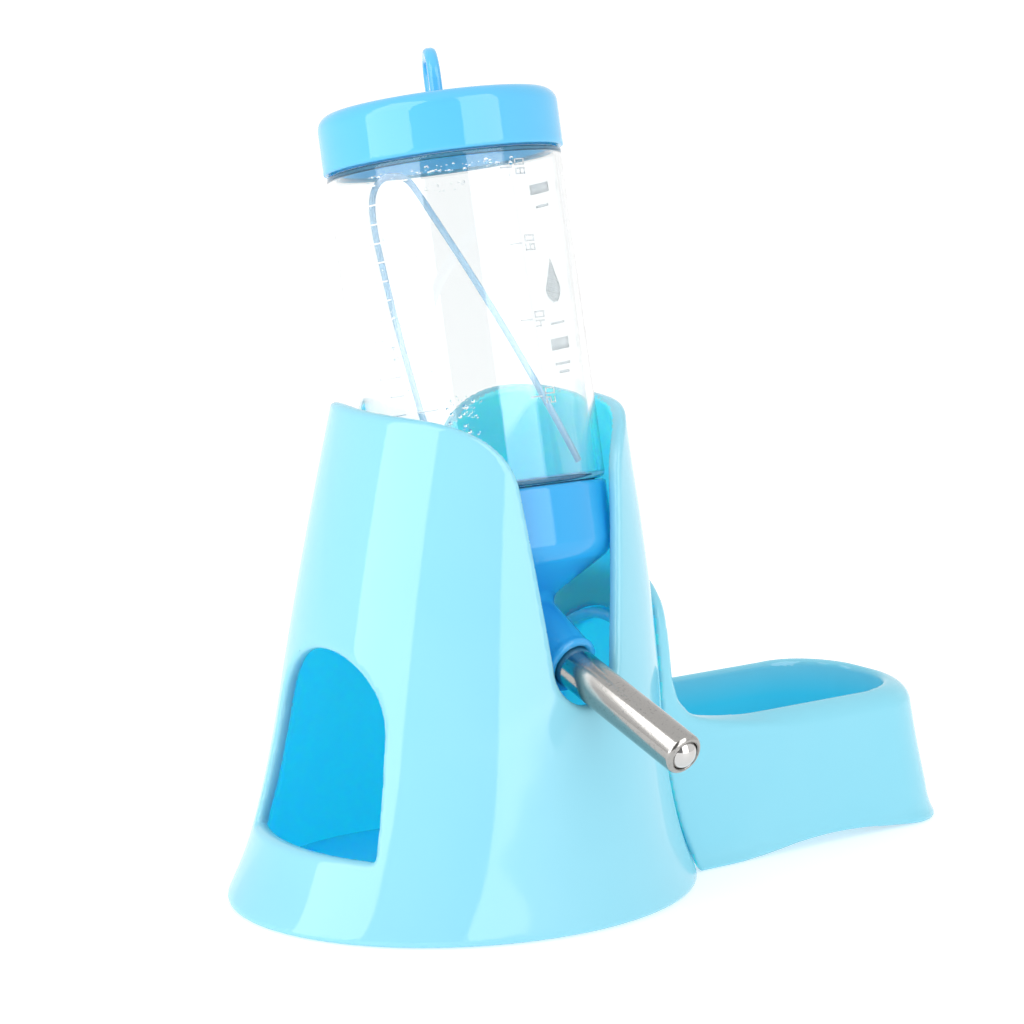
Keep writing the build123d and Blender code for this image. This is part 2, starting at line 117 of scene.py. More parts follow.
# height, far end X, half width, corner radius
BOWL_STATIONS = np.array([
    (0.0, bowl_high[0], 20.8, 15.0),
    (1.2, bowl_high[0] - 0.7, 20.35, 15.0),
    (2.8, bowl_high[0] - 1.35, 20.0, 15.0),
    (8.0, bowl_high[0] - 2.8, 19.75, 15.2),
    (16.0, bowl_high[0] - 5.0, 19.4, 15.5),
    (BOWL_RIM_Z, bowl_high[0] - 8.1, 18.9, 16.0),
])
BOWL_WALL, BOWL_GAP, FLANGE_WALL = 2.2, 0.3, 2.7
CAVITY_FLOOR_Z, CAVITY_HALF_FLOOR, CAVITY_HALF_TOP, CAVITY_END_X = 8.0, 13.8, 15.4, 92.8
FLANGE_HALF, FLANGE_SPRING, FLANGE_TOP = 19.2, 50.0, bowl_high[2]
# height, growth of the bowl's near wall outside the stand
SADDLE = np.array([
    (27.0, 26.0), (29.2, 17.0), (31.0, 9.5), (34.0, 5.4), (38.0, 3.7), (46.0, 3.1), (62.0, 3.0),
])
SADDLE_EDGE_R, SADDLE_BLEND_R, SADDLE_STEEPEST = 1.0, 2.0, 4.0
TRAY_EDGE_R, CAVITY_EDGE_R, HOLLOW_EDGE_R, BOWL_EDGE_R = 4.2, 3.0, 3.6, 0.9
BOWL_ARCH_MID, BOWL_ARCH_HALF, BOWL_ARCH_RISE = 82.0, 30.0, 1.8
# the rim that plugs the stand's door: gap to the door, wall, reach past the stand's wall, root
LIP_GAP, LIP_WALL, LIP_REACH, LIP_ROOT = 0.35, 2.0, 0.8, 1.0
LIP_EDGE_R, LIP_BLEND_R = 0.5, 0.4
BEHIND_DOOR = 0.6         # how far outside the bell the bowl's wall counts as the hut's inside and takes its painted light
# painted shade in the food cavity: its start below the rim, its depth, and the edge and fade of its outline
SHADE_START, SHADE_DEPTH, SHADE_EDGE, SHADE_FADE = 0.4, 7.0, 0.9, 0.6

BOTTLE_R, BOTTLE_WALL, SHOULDER_W = 22.5, 1.4, 63.5
NECK_R, NECK_BORE_R, NECK_BOTTOM_W = 20.3, 18.9, -10.2
TOP_NECK_R, TOP_NECK_BORE_R, TOP_NECK_W = 21.3, 19.9, 72.0
FOOT_W, NECK_FLARE_W, INNER_FOOT_W = 0.3, 0.8, 1.4
SHOULDER_STEP, SHOULDER_WALL = 0.4, 1.0
FACE_MARGIN = 0.02        # how far past the foot and the shoulder the necks' painted blue begins
CAP_R, CAP_BORE_R = 23.03, 21.5
CAP_SKIRT_W, CAP_CEILING_W, CAP_TOP_W, CAP_EDGE_R = 63.8, 73.2, 75.2, 3.0
CAP_BORE_EDGE_R, CAP_SKIRT_EDGE_R, CAP_INSIDE_DEPTH = 0.8, 0.35, 0.5
CAP_SEAL_SIDE_GAP, CAP_SEAL_TOP_GAP, CAP_SEAL_REACH = 0.2, 0.05, 1.0
NECK_SEAL_BORE_R, NECK_SEAL_R, NECK_SEAL_LOW_W, NECK_SEAL_HIGH_W = 18.4, 20.4, -11.9, -10.5
LOOP_TURN = math.radians(55.0)
LOOP_HALF, LOOP_TOP_W, LOOP_THICK = 6.6, 85.6, 2.4
LOOP_HOLE_HALF, LOOP_HOLE_W, LOOP_HOLE_R = (3.7, 3.3), 79.6, 2.4
LOOP_EDGE_R, LOOP_BLEND_R, LOOP_ROOT = 0.85, 0.9, 1.0

CUP_R, CUP_BORE_R, CUP_FLOOR_W = 22.5, 20.75, -12.2
CONE_TOP, CONE_BOTTOM, JUNCTION_W = (19.4, -15.0), (10.0, -20.6), -24.0
FUNNEL_TOP_R, FUNNEL_BORE_R, FUNNEL_FOOT_W = 17.0, 3.2, -19.1
MOUTH_T, MOUTH_LIP_R, MOUTH_LIP_LONG = -4.5, 5.6, 1.4
ELBOW_MOUTH_R, ELBOW_HEEL_R, HEEL_T = 5.3, 7.8, -23.0
CUP_EDGE_R, ELBOW_BLEND_R, ELBOW_EDGE_R, MOUTH_EDGE_R, MOUTH_BLEND_R = 2.2, 2.2, 0.6, 0.5, 0.3
CUP_BORE_EDGE_R, FUNNEL_EDGE_R, FUNNEL_OVERLAP, DRAIN_OVERLAP, HEAD_EDGE_R = 1.0, 0.2, 0.6, 1.0, 0.6
HEAD_LOW_Y, HEAD_LOW_W = -48.0, -42.0
SOCKET_R, BUSH_R, BUSH_SPAN = 4.05, 4.9, (-16.5, -12.0)
STEEL_R, STEEL_BORE_R, STEEL_LIP_R, STEEL_TIP_T, STEEL_TIP_ROUND = 4.0, 3.5, 2.85, 28.6, 1.1
STEEL_LIP_DEEP, STEEL_LIP_RUN, STEEL_TIP_SHAVE = 0.5, 1.2, 0.02

TIE_TURN = math.radians(49.9)
# across, depth, height in the bottle, in the tie's own turn about the bottle's axis
TIE_ROUTE = [
    (-8.6, 12.6, 3.0), (-11.8, 11.6, 22.0), (-14.2, 9.6, 41.0), (-15.6, 8.3, 57.4), (-12.9, 8.0, 62.8),
    (-7.7, 7.8, 62.6), (-4.9, 7.2, 57.2), (3.6, 4.7, 39.5), (11.6, 3.4, 21.0), (18.2, 3.2, 4.0),
]
TIE_R, TIE_LENGTH = 0.65, 129.5

# mesh cells, coarser while working on the looks
CELL, CAP_CELL, HEAD_CELL = ((0.75, 0.55, 0.6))


# ------------------------------------------------------------------ fields, negative inside
def rounded_all(radius, *fields):
    """Inside every field at once, with its outer edges rounded to the radius."""
    over = sum(np.maximum(f + radius, 0) ** 2 for f in fields)
    return np.minimum(-radius, reduce(np.maximum, fields)) + np.sqrt(over)


def rounded_any(radius, *fields):
    """Inside any of the fields, with the inner corners between them filled to the radius."""
    return -rounded_all(radius, *[-f for f in fields])


def smooth_curve(stations, column):
    """Smooth curve through a column of stations by height, run on straight past both ends."""
    knots, values = stations[:, 0], stations[:, column]
    slopes = np.gradient(values, knots)

    def at(z):
        i = np.clip(np.searchsorted(knots, z) - 1, 0, len(knots) - 2)
        span = knots[i + 1] - knots[i]
        s = np.clip((z - knots[i]) / span, 0, 1)
        curve = (
            (1 + 2 * s) * (1 - s) ** 2 * values[i] + s * (1 - s) ** 2 * span * slopes[i]
            + s**2 * (3 - 2 * s) * values[i + 1] - s**2 * (1 - s) * span * slopes[i + 1]
        )
        past = np.minimum(z - knots[0], 0) * slopes[0] + np.maximum(z - knots[-1], 0) * slopes[-1]
        return curve + past

    return at


stand_minus, stand_plus, stand_half = (smooth_curve(STAND_STATIONS, c) for c in (1, 2, 3))
bowl_end, bowl_half, bowl_corner = (smooth_curve(BOWL_STATIONS, c) for c in (1, 2, 3))
saddle_growth = smooth_curve(SADDLE, 1)


def oval(x, y, minus_x, plus_x, half_y):
    """Distance outside an oval whose two halves meet on the Y axis."""
    reach = np.where(x < 0, minus_x, plus_x)
    u, v = x / reach, y / half_y
    size = np.sqrt(u * u + v * v) + 1e-9
    return (size - 1) * size / (np.sqrt((u / reach) ** 2 + (v / half_y) ** 2) + 1e-12)


def bell(x, y, z, grow=0.0):
    """Distance outside the stand's bell shape, grown sideways."""
    return oval(x, y, stand_minus(z) + grow, stand_plus(z) + grow, stand_half(z) + grow)


def arch(y, z, sill, sill_half, spring, radius):
    """Distance outside a door outline: a flat sill, leaning jambs and a round head."""
    lean = (sill_half - radius) / (spring - sill)
    jamb = (np.abs(y) - radius - lean * (spring - z)) / math.hypot(1, lean)
    head = np.hypot(y, z - spring) - radius
    foot = rounded_all(DOOR_CORNER_R, sill - z, jamb)
    return np.where(z > spring, np.maximum(sill - z, head), foot)


def door(y, z, inset=0.0):
    """The stand's door outline, drawn in by inset."""
    return arch(y, z, DOOR_SILL + inset, DOOR_SILL_HALF - inset, DOOR_SPRING, DOOR_R - inset)


def stand_field(x, y, z):
    """The hut: a thin bell, two arched doors in X, two U slots in Y with round-shouldered ears."""
    slot_mid = SLOT_BOTTOM_Z + SLOT_R
    lean = (SLOT_SHOULDER_HALF - SLOT_R) / (STAND_TOP - EAR_CORNER_R - slot_mid)
    side = (np.abs(x) - SLOT_R - lean * (z - slot_mid)) / math.hypot(1, lean)
    bottom = np.hypot(x, z - slot_mid) - SLOT_R
    slot = np.where(z > slot_mid, side, bottom)
    ears = rounded_all(EAR_CORNER_R, -slot, z - STAND_TOP)
    ears = np.where(z > slot_mid, ears, np.maximum(-slot, z - STAND_TOP))
    inside = bell(x, y, z, -STAND_WALL)
    return rounded_all(STAND_EDGE_R, bell(x, y, z), -inside, -door(y, z), ears, -z)


def long_outline(x, y, z, inset=0.0):
    """Distance outside the bowl's plan at a height: straight sides and rounded far corners."""
    corner = bowl_corner(z) - inset
    u = x - (bowl_end(z) - inset - corner)
    v = np.abs(y) - (bowl_half(z) - inset - corner)
    return np.hypot(np.maximum(u, 0), np.maximum(v, 0)) + np.minimum(np.maximum(u, v), 0) - corner


def cavity_outline(x, y, z, grow=0.0):
    """Distance outside the food cavity's plan: straight sides and a half-round far end."""
    share = (z - CAVITY_FLOOR_Z) / (BOWL_RIM_Z - CAVITY_FLOOR_Z)
    half = CAVITY_HALF_FLOOR + (CAVITY_HALF_TOP - CAVITY_HALF_FLOOR) * share + grow
    return np.hypot(np.maximum(x - CAVITY_END_X, 0), y) - half


def bowl_field(x, y, z):
    """The food bowl: a hollow skirted tray whose near wall hugs the stand and plugs its door."""
    tray = rounded_all(TRAY_EDGE_R, long_outline(x, y, z), z - BOWL_RIM_Z)
    growth = saddle_growth(np.minimum(z, SADDLE[-1, 0]))
    slope = np.clip(np.gradient(SADDLE[:, 1], SADDLE[:, 0]), -SADDLE_STEEPEST, 0)
    steep = np.hypot(1, np.interp(z, SADDLE[:, 0], slope))
    wall = (bell(x, y, z) - growth) / steep
    rise = FLANGE_TOP - FLANGE_SPRING
    head = np.hypot(y * rise / FLANGE_HALF, z - FLANGE_SPRING) - rise
    flange = np.where(z > FLANGE_SPRING, head, np.abs(y) - FLANGE_HALF)
    saddle = rounded_all(SADDLE_EDGE_R, wall, flange, SADDLE[0, 0] - z)
    body = rounded_any(SADDLE_BLEND_R, tray, saddle)
    near = bell(x, y, z, BOWL_GAP + FLANGE_WALL)
    cavity = rounded_all(CAVITY_EDGE_R, cavity_outline(x, y, z), CAVITY_FLOOR_Z - z, -near)
    cup = rounded_all(CAVITY_EDGE_R, cavity_outline(x, y, z, BOWL_WALL), CAVITY_FLOOR_Z - BOWL_WALL - z)
    skirt = long_outline(x, y, z, BOWL_WALL)
    hollow = rounded_all(HOLLOW_EDGE_R, skirt, z - BOWL_RIM_Z + BOWL_WALL, -cup, -near)
    along = np.clip((x - BOWL_ARCH_MID) / BOWL_ARCH_HALF, -1, 1)
    ground = BOWL_ARCH_RISE * (0.5 + 0.5 * np.cos(math.pi * along))
    against = bell(x, y, z, BOWL_GAP)
    outer = rounded_all(BOWL_EDGE_R, body, -against, -cavity, -hollow, ground - z, -x)
    lip = rounded_all(
        LIP_EDGE_R, door(y, z, LIP_GAP), -door(y, z, LIP_GAP + LIP_WALL),
        -bell(x, y, z, -STAND_WALL - LIP_REACH), bell(x, y, z, BOWL_GAP + LIP_ROOT), -x,
    )
    return rounded_any(LIP_BLEND_R, outer, lip)


def cavity_shade(x, y, z):
    """How deep a point lies in the food cavity, from 0 at the rim to 1: its share of the cavity's painted
    shade.
    """
    depth = np.clip((BOWL_RIM_Z - SHADE_START - z) / SHADE_DEPTH, 0, 1)
    return depth * np.clip((SHADE_EDGE - cavity_outline(x, y, z)) / SHADE_FADE, 0, 1)


# the faces this picks take the hut's painted inside light
def stand_wall_inside(x, y, z):
    """Negative deeper than the hut's wall."""
    return bell(x, y, z, -STAND_WALL * INSIDE_SHARE)


# the bowl faces this picks take the painted inside light
def in_stand(x, y, z):
    """Negative within the bell and a little outside it, where the bowl's wall closes the door."""
    return bell(x, y, z, BEHIND_DOOR)


def cap_field(x, y, w):
    """The screw cap and the flat hanging loop moulded on its top."""
    r = np.hypot(x, y)
    shell = rounded_all(CAP_EDGE_R, r - CAP_R, w - CAP_TOP_W)
    bore = rounded_all(CAP_BORE_EDGE_R, r - CAP_BORE_R, w - CAP_CEILING_W)
    cap = rounded_all(CAP_SKIRT_EDGE_R, shell, -bore, CAP_SKIRT_W - w)
    across = x * math.cos(LOOP_TURN) + y * math.sin(LOOP_TURN)
    through = y * math.cos(LOOP_TURN) - x * math.sin(LOOP_TURN)
    arch_mid = LOOP_TOP_W - LOOP_HALF
    outline = np.where(w > arch_mid, np.hypot(across, w - arch_mid), np.abs(across)) - LOOP_HALF
    u = np.abs(across) - LOOP_HOLE_HALF[0] + LOOP_HOLE_R
    v = np.abs(w - LOOP_HOLE_W) - LOOP_HOLE_HALF[1] + LOOP_HOLE_R
    hole = np.hypot(np.maximum(u, 0), np.maximum(v, 0)) + np.minimum(np.maximum(u, v), 0) - LOOP_HOLE_R
    flat = np.abs(through) - LOOP_THICK / 2
    loop = rounded_all(LOOP_EDGE_R, outline, -hole, flat, CAP_TOP_W - LOOP_ROOT - w)
    return rounded_any(LOOP_BLEND_R, cap, loop)


# the cap faces this picks take the painted inside light
def cap_hollow(x, y, w):
    """Negative inside the cap's bore and in the skin of its wall and ceiling."""
    side = np.hypot(x, y) - CAP_BORE_R - CAP_INSIDE_DEPTH
    return np.maximum(side, w - CAP_CEILING_W - CAP_INSIDE_DEPTH)


def bottle_necks(x, y, w):
    """Negative below the bottle's foot and above its shoulder, where the necks take the painted blue."""
    return np.minimum(w - FOOT_W - FACE_MARGIN, SHOULDER_W - FACE_MARGIN - w)


TUBE_FROM_BOTTLE = np.array(TUBE_AXES.inverted() @ BOTTLE_AXES)


def head_field(x, y, w):
    """The drinking head: a cup round the bottle's neck, its cone, and the elbow to the tube."""
    r = np.hypot(x, y)
    run, drop = CONE_TOP[0] - CONE_BOTTOM[0], CONE_TOP[1] - CONE_BOTTOM[1]
    cone = (drop * (r - CONE_TOP[0]) - run * (w - CONE_TOP[1])) / math.hypot(run, drop)
    shift = TUBE_FROM_BOTTLE[:3, 3] / MM
    tx, ty, t = (m[0] * x + m[1] * y + m[2] * w + d for m, d in zip(TUBE_FROM_BOTTLE, shift))
    rho = np.hypot(tx, ty)
    taper = (ELBOW_HEEL_R - ELBOW_MOUTH_R) / (MOUTH_T - HEEL_T)
    sleeve = (rho - ELBOW_MOUTH_R - taper * (MOUTH_T - t)) / math.hypot(1, taper)
    elbow = np.where(t > HEEL_T, sleeve, np.hypot(rho, t - HEEL_T) - ELBOW_HEEL_R)
    elbow = rounded_all(ELBOW_EDGE_R, elbow, t - MOUTH_T)
    lip = rounded_all(MOUTH_EDGE_R, rho - MOUTH_LIP_R, t - MOUTH_T, MOUTH_T - MOUTH_LIP_LONG - t)
    cup = rounded_all(CUP_EDGE_R, r - CUP_R, cone, JUNCTION_W - w)
    body = rounded_any(ELBOW_BLEND_R, cup, elbow)
    body = rounded_any(MOUTH_BLEND_R, body, lip)
    fall = CUP_FLOOR_W - FUNNEL_FOOT_W
    spread = FUNNEL_TOP_R - FUNNEL_BORE_R
    funnel = (fall * (r - FUNNEL_TOP_R) - spread * (w - CUP_FLOOR_W)) / math.hypot(fall, spread)
    funnel = rounded_all(FUNNEL_EDGE_R, funnel, FUNNEL_FOOT_W - w, w - CUP_FLOOR_W - FUNNEL_OVERLAP)
    bore = np.minimum(rounded_all(CUP_BORE_EDGE_R, r - CUP_BORE_R, CUP_FLOOR_W - w), funnel)
    drain = np.maximum(r - FUNNEL_BORE_R, JUNCTION_W + DRAIN_OVERLAP - w)
    socket = np.maximum(rho - SOCKET_R, BUSH_SPAN[0] - t)
    groove = reduce(np.maximum, [rho - BUSH_R, BUSH_SPAN[0] - t, t - BUSH_SPAN[1]])
    throat = reduce(np.maximum, [rho - STEEL_LIP_R, HEEL_T - t, t - BUSH_SPAN[1]])
    return rounded_all(HEAD_EDGE_R, body, -bore, w, -drain, -socket, -groove, -throat)


# ------------------------------------------------------------------ meshes
MARGIN_CELLS = 1.5        # room left round a field's box, in cells
LEAST_SLOPE = 0.05        # keeps a step short where a field is nearly flat
TINY = 1e-9


def gradient(field, points, step=0.02):
    """Slope of a field at points, by steps either way along each axis."""
    slope = np.empty_like(points)
    for axis in range(3):
        ahead, back = points.copy(), points.copy()
        ahead[:, axis] += step
        back[:, axis] -= step
        slope[:, axis] = (field(*ahead.T) - field(*back.T)) / (2 * step)
    return slope


def settle(field, points, reach):
    """Moves points onto the surface where the field is zero, at most reach at a time."""
    slope = gradient(field, points)
    steep = np.maximum((slope**2).sum(1), LEAST_SLOPE)
    move = -slope * (field(*points.T) / steep)[:, None]
    length = np.linalg.norm(move, axis=1)[:, None]
    return points + move * np.minimum(1, reach / np.maximum(length, TINY))


def summed(places, vectors, count):
    """Sum of the vectors that go to each of count places."""
    return np.stack([np.bincount(places, vectors[:, i], count) for i in range(3)], 1)


def skin(field, low, high, cell, evenings=6):
    """Points and four-sided faces of the surface where the field is zero, evenly spread."""
    low = np.array(low, float) - MARGIN_CELLS * cell
    counts = np.ceil((np.array(high) - low) / cell).astype(int) + 3
    lines = [low[i] + cell * np.arange(counts[i]) for i in range(3)]
    grid = np.meshgrid(*lines, indexing="ij", sparse=True)
    values = field(*grid) + np.zeros(counts)
    total, hits = np.zeros((counts.prod(), 3)), np.zeros(counts.prod())
    rings = []
    for axis in range(3):
        near, far = (np.moveaxis(values, axis, 0)[s] for s in (slice(0, -1), slice(1, None)))
        near, far = np.moveaxis(near, 0, axis), np.moveaxis(far, 0, axis)
        at = np.argwhere((near < 0) != (far < 0))
        a, b = near[tuple(at.T)], far[tuple(at.T)]
        crossing = low + cell * at
        crossing[:, axis] += cell * a / (a - b)
        u, v = np.eye(3, dtype=int)[(axis + 1) % 3], np.eye(3, dtype=int)[(axis + 2) % 3]
        around = [np.ravel_multi_index((at - du * u - dv * v).T, counts)
                  for du, dv in ((1, 1), (0, 1), (0, 0), (1, 0))]
        for cells in around:
            total += summed(cells, crossing, len(hits))
            hits += np.bincount(cells, minlength=len(hits))
        ring = np.stack(around, 1)
        ring[a >= 0] = ring[a >= 0][:, ::-1]
        rings.append(ring)
    used = np.flatnonzero(hits)
    number = np.full(len(hits), -1)
    number[used] = np.arange(len(used))
    faces = number[np.concatenate(rings)]
    points = total[used] / hits[used, None]
    ends = np.concatenate([faces[:, [i, (i + 1) % 4]] for i in range(4)])
    ends = np.concatenate([ends, ends[:, ::-1]])
    degree = np.bincount(ends[:, 0], minlength=len(points))[:, None]
    points = settle(field, points, cell)
    for _ in range(evenings):
        mean = summed(ends[:, 0], points[ends[:, 1]], len(points)) / degree
        points = settle(field, 0.5 * points + 0.5 * mean, cell)
    for _ in range(3):
        points = settle(field, points, 0.3 * cell)
    return points, faces


def solid(name, points, faces, axes, body, slot, replaces, *materials, inner=None, hollow=None):
    """A smooth-shaded piece from points in millimetres along the given axes, riding on a body.

    Faces whose middle has inner below zero take the second material; hollow gives each point its share of
    painted cavity shade, from 0 to 1.
    """
    turn = np.array(axes)
    mesh = bpy.data.meshes.new(name)
    mesh.from_pydata((points * MM @ turn[:3, :3].T + turn[:3, 3]).tolist(), [], faces.tolist())
    mesh.shade_smooth()
    if inner:
        middles = points[faces].mean(1)
        mesh.polygons.foreach_set("material_index", (inner(*middles.T) < 0).astype(int))
    if hollow:
        # painted shade: the 'hollow' attribute holds how much painted cavity shade each point takes
        shade = mesh.attributes.new("hollow", "FLOAT", "POINT")
        shade.data.foreach_set("value", np.clip(hollow(*points.T), 0, 1))
    return placed(name, mesh, body, slot, replaces, *materials)


def placed(name, data, body, slot, replaces, *materials):
    """An object for a mesh or curve, riding on its body and standing for its nodes."""
    piece = bpy.data.objects.new(name, data)
    for material in materials:
        data.materials.append(material)
    bpy.context.scene.collection.objects.link(piece)
    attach(piece, body)
    if replaces:
        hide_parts(*replaces)
    return piece


def outline(corners, steps=5):
    """Closed outline from (radius, height, rounding) corners, with arcs at the rounded ones."""
    points = []
    flat = [np.array(c[:2], float) for c in corners]
    for i, (*_, rounding) in enumerate(corners):
        here, before, after = flat[i], flat[i - 1], flat[(i + 1) % len(flat)]
        if not rounding:
            points.append(here)
            continue
        a, b = before - here, after - here
        ea, eb = a / np.linalg.norm(a), b / np.linalg.norm(b)
        half = math.acos(np.clip(ea @ eb, -1, 1)) / 2
        mid = (ea + eb) / np.linalg.norm(ea + eb)
        centre = here + mid * rounding / math.sin(half)
        start = here + ea * rounding / math.tan(half) - centre
        end = here + eb * rounding / math.tan(half) - centre
        sweep = math.atan2(start[0] * end[1] - start[1] * end[0], start @ end)
        for k in range(steps + 1):
            c, s = math.cos(sweep * k / steps), math.sin(sweep * k / steps)
            points.append(centre + (c * start[0] - s * start[1], s * start[0] + c * start[1]))
    return np.array(points)


def turned(profile, segments=144, squeeze=(1.0, 1.0)):
    """Points and faces of a closed outline turned about Z; squeeze makes the rings oval."""
    angles = np.arange(segments) * 2 * math.pi / segments
    rings = np.stack([np.cos(angles)[:, None] * profile[:, 0] * squeeze[0],
                      np.sin(angles)[:, None] * profile[:, 0] * squeeze[1],
                      np.broadcast_to(profile[:, 1], (segments, len(profile)))], 2)
    n = len(profile)
    i, j = np.meshgrid(np.arange(segments), np.arange(n), indexing="ij")
    i2, j2 = (i + 1) % segments, (j + 1) % n
    faces = np.stack([i * n + j, i2 * n + j, i2 * n + j2, i * n + j2], 2).reshape(-1, 4)
    r, w = profile.T
    area = np.sum(r * np.roll(w, -1) - np.roll(r, -1) * w)
    return rings.reshape(-1, 3), faces if area > 0 else faces[:, ::-1]


def ball(radius, cells=24):
    """A sphere of six even square patches."""
    line = np.tan(np.linspace(-1, 1, cells + 1) * math.pi / 4)
    u, v = (g.ravel() for g in np.meshgrid(line, line, indexing="ij"))
    one = np.ones_like(u)
    sides = [(u, v, one), (v, u, -one), (one, u, v), (-one, v, u), (v, one, u), (u, -one, v)]
    points = np.concatenate([np.stack(s, 1) for s in sides])
    points /= np.linalg.norm(points, axis=1)[:, None]
    key, index = np.unique(points.round(6), axis=0, return_inverse=True)
    i, j = (g.ravel() for g in np.meshgrid(np.arange(cells), np.arange(cells), indexing="ij"))
    corner = i * (cells + 1) + j
    square = np.stack([corner, corner + cells + 1, corner + cells + 2, corner + 1], 1)
    faces = np.concatenate([square + k * (cells + 1) ** 2 for k in range(6)])
    return key / np.linalg.norm(key, axis=1)[:, None] * radius, index.ravel()[faces]


# ------------------------------------------------------------------ materials
def new_group(name, inputs, outputs):
    """An empty shader node group with named inputs and outputs."""
    group = bpy.data.node_groups.new(name, "ShaderNodeTree")
    for label, kind, value in inputs:
        group.interface.new_socket(label, in_out="INPUT", socket_type=kind).default_value = value
    for label, kind in outputs:
        group.interface.new_socket(label, in_out="OUTPUT", socket_type=kind)
    return group, group.nodes.new("NodeGroupInput"), group.nodes.new("NodeGroupOutput")


def node(tree, kind, **values):
    """A node with its settings and its inputs' values; a value that is a socket is linked."""
    made = tree.nodes.new(kind)
    for key, value in values.items():
        if key.startswith("set_"):
            setattr(made, key[4:], value)
            continue
        numbered = key[0] == "i" and key[1:].isdigit()
        socket = made.inputs[int(key[1:]) if numbered else key.replace("_", " ")]
        if isinstance(value, bpy.types.NodeSocket):
            tree.links.new(value, socket)
        else:
            socket.default_value = value
    return made


GROUP_OUTPUTS = [
    ("Colour", "NodeSocketColor"), ("Roughness", "NodeSocketFloat"), ("Normal", "NodeSocketVector"),
]


def make_moulded_group():
    """Moulded plastic: slow changes of tone, soft sink ripples, fine grain and faint scuffs, and a painted
    shade colour mixed in by the 'hollow' attribute.
    """
    group, given, out = new_group("moulded_surface", [
        ("Colour", "NodeSocketColor", (1, 1, 1, 1)), ("Deep colour", "NodeSocketColor", (1, 1, 1, 1)),
        ("Tone size", "NodeSocketFloat", 30.0), ("Ripple size", "NodeSocketFloat", 55.0),
        ("Ripple height", "NodeSocketFloat", 0.00006), ("Grain size", "NodeSocketFloat", 1800.0),
        ("Grain height", "NodeSocketFloat", 0.000004), ("Roughness", "NodeSocketFloat", 0.2),
        ("Scuff", "NodeSocketFloat", 0.1), ("Painted cavity shade colour", "NodeSocketColor", (1, 1, 1, 1))],
        GROUP_OUTPUTS)
    place = node(group, "ShaderNodeTexCoord").outputs["Object"]
    tone = node(group, "ShaderNodeTexNoise", Vector=place, Scale=given.outputs["Tone size"], Detail=2.0)
    share = node(group, "ShaderNodeMapRange", Value=tone.outputs["Fac"], i1=0.35, i2=0.65)
    colour = node(group, "ShaderNodeMix", set_data_type="RGBA", i0=share.outputs[0],
                  i6=given.outputs["Colour"], i7=given.outputs["Deep colour"])
    # painted shade: the 'hollow' attribute mixes in a deeper, more saturated colour down in a cavity
    hollow = node(group, "ShaderNodeAttribute", set_attribute_name="hollow").outputs["Fac"]
    colour = node(group, "ShaderNodeMix", set_data_type="RGBA", i0=hollow, i6=colour.outputs[2],
                  i7=given.outputs["Painted cavity shade colour"])
    scuffs = node(group, "ShaderNodeTexNoise", Vector=place, Scale=160.0, Detail=6.0, Roughness=0.7)
    worn = node(group, "ShaderNodeMapRange", Value=scuffs.outputs["Fac"], i1=0.52, i2=0.78)
    rough = node(group, "ShaderNodeMath", set_operation="MULTIPLY_ADD", i0=worn.outputs[0],
                 i1=given.outputs["Scuff"], i2=given.outputs["Roughness"])
    ripple = node(group, "ShaderNodeTexNoise", Vector=place, Scale=given.outputs["Ripple size"], Detail=1.0)
    grain = node(group, "ShaderNodeTexNoise", Vector=place, Scale=given.outputs["Grain size"], Detail=2.0)
    waves = node(group, "ShaderNodeMath", set_operation="MULTIPLY", i0=ripple.outputs["Fac"],
                 i1=given.outputs["Ripple height"])
    height = node(group, "ShaderNodeMath", set_operation="MULTIPLY_ADD", i0=grain.outputs["Fac"],
                  i1=given.outputs["Grain height"], i2=waves.outputs[0])
    bump = node(group, "ShaderNodeBump", Strength=1.0, Distance=1.0, Height=height.outputs[0])
    group.links.new(colour.outputs[2], out.inputs["Colour"])
    group.links.new(rough.outputs[0], out.inputs["Roughness"])
    group.links.new(bump.outputs[0], out.inputs["Normal"])
    return group


MOULDED = make_moulded_group()


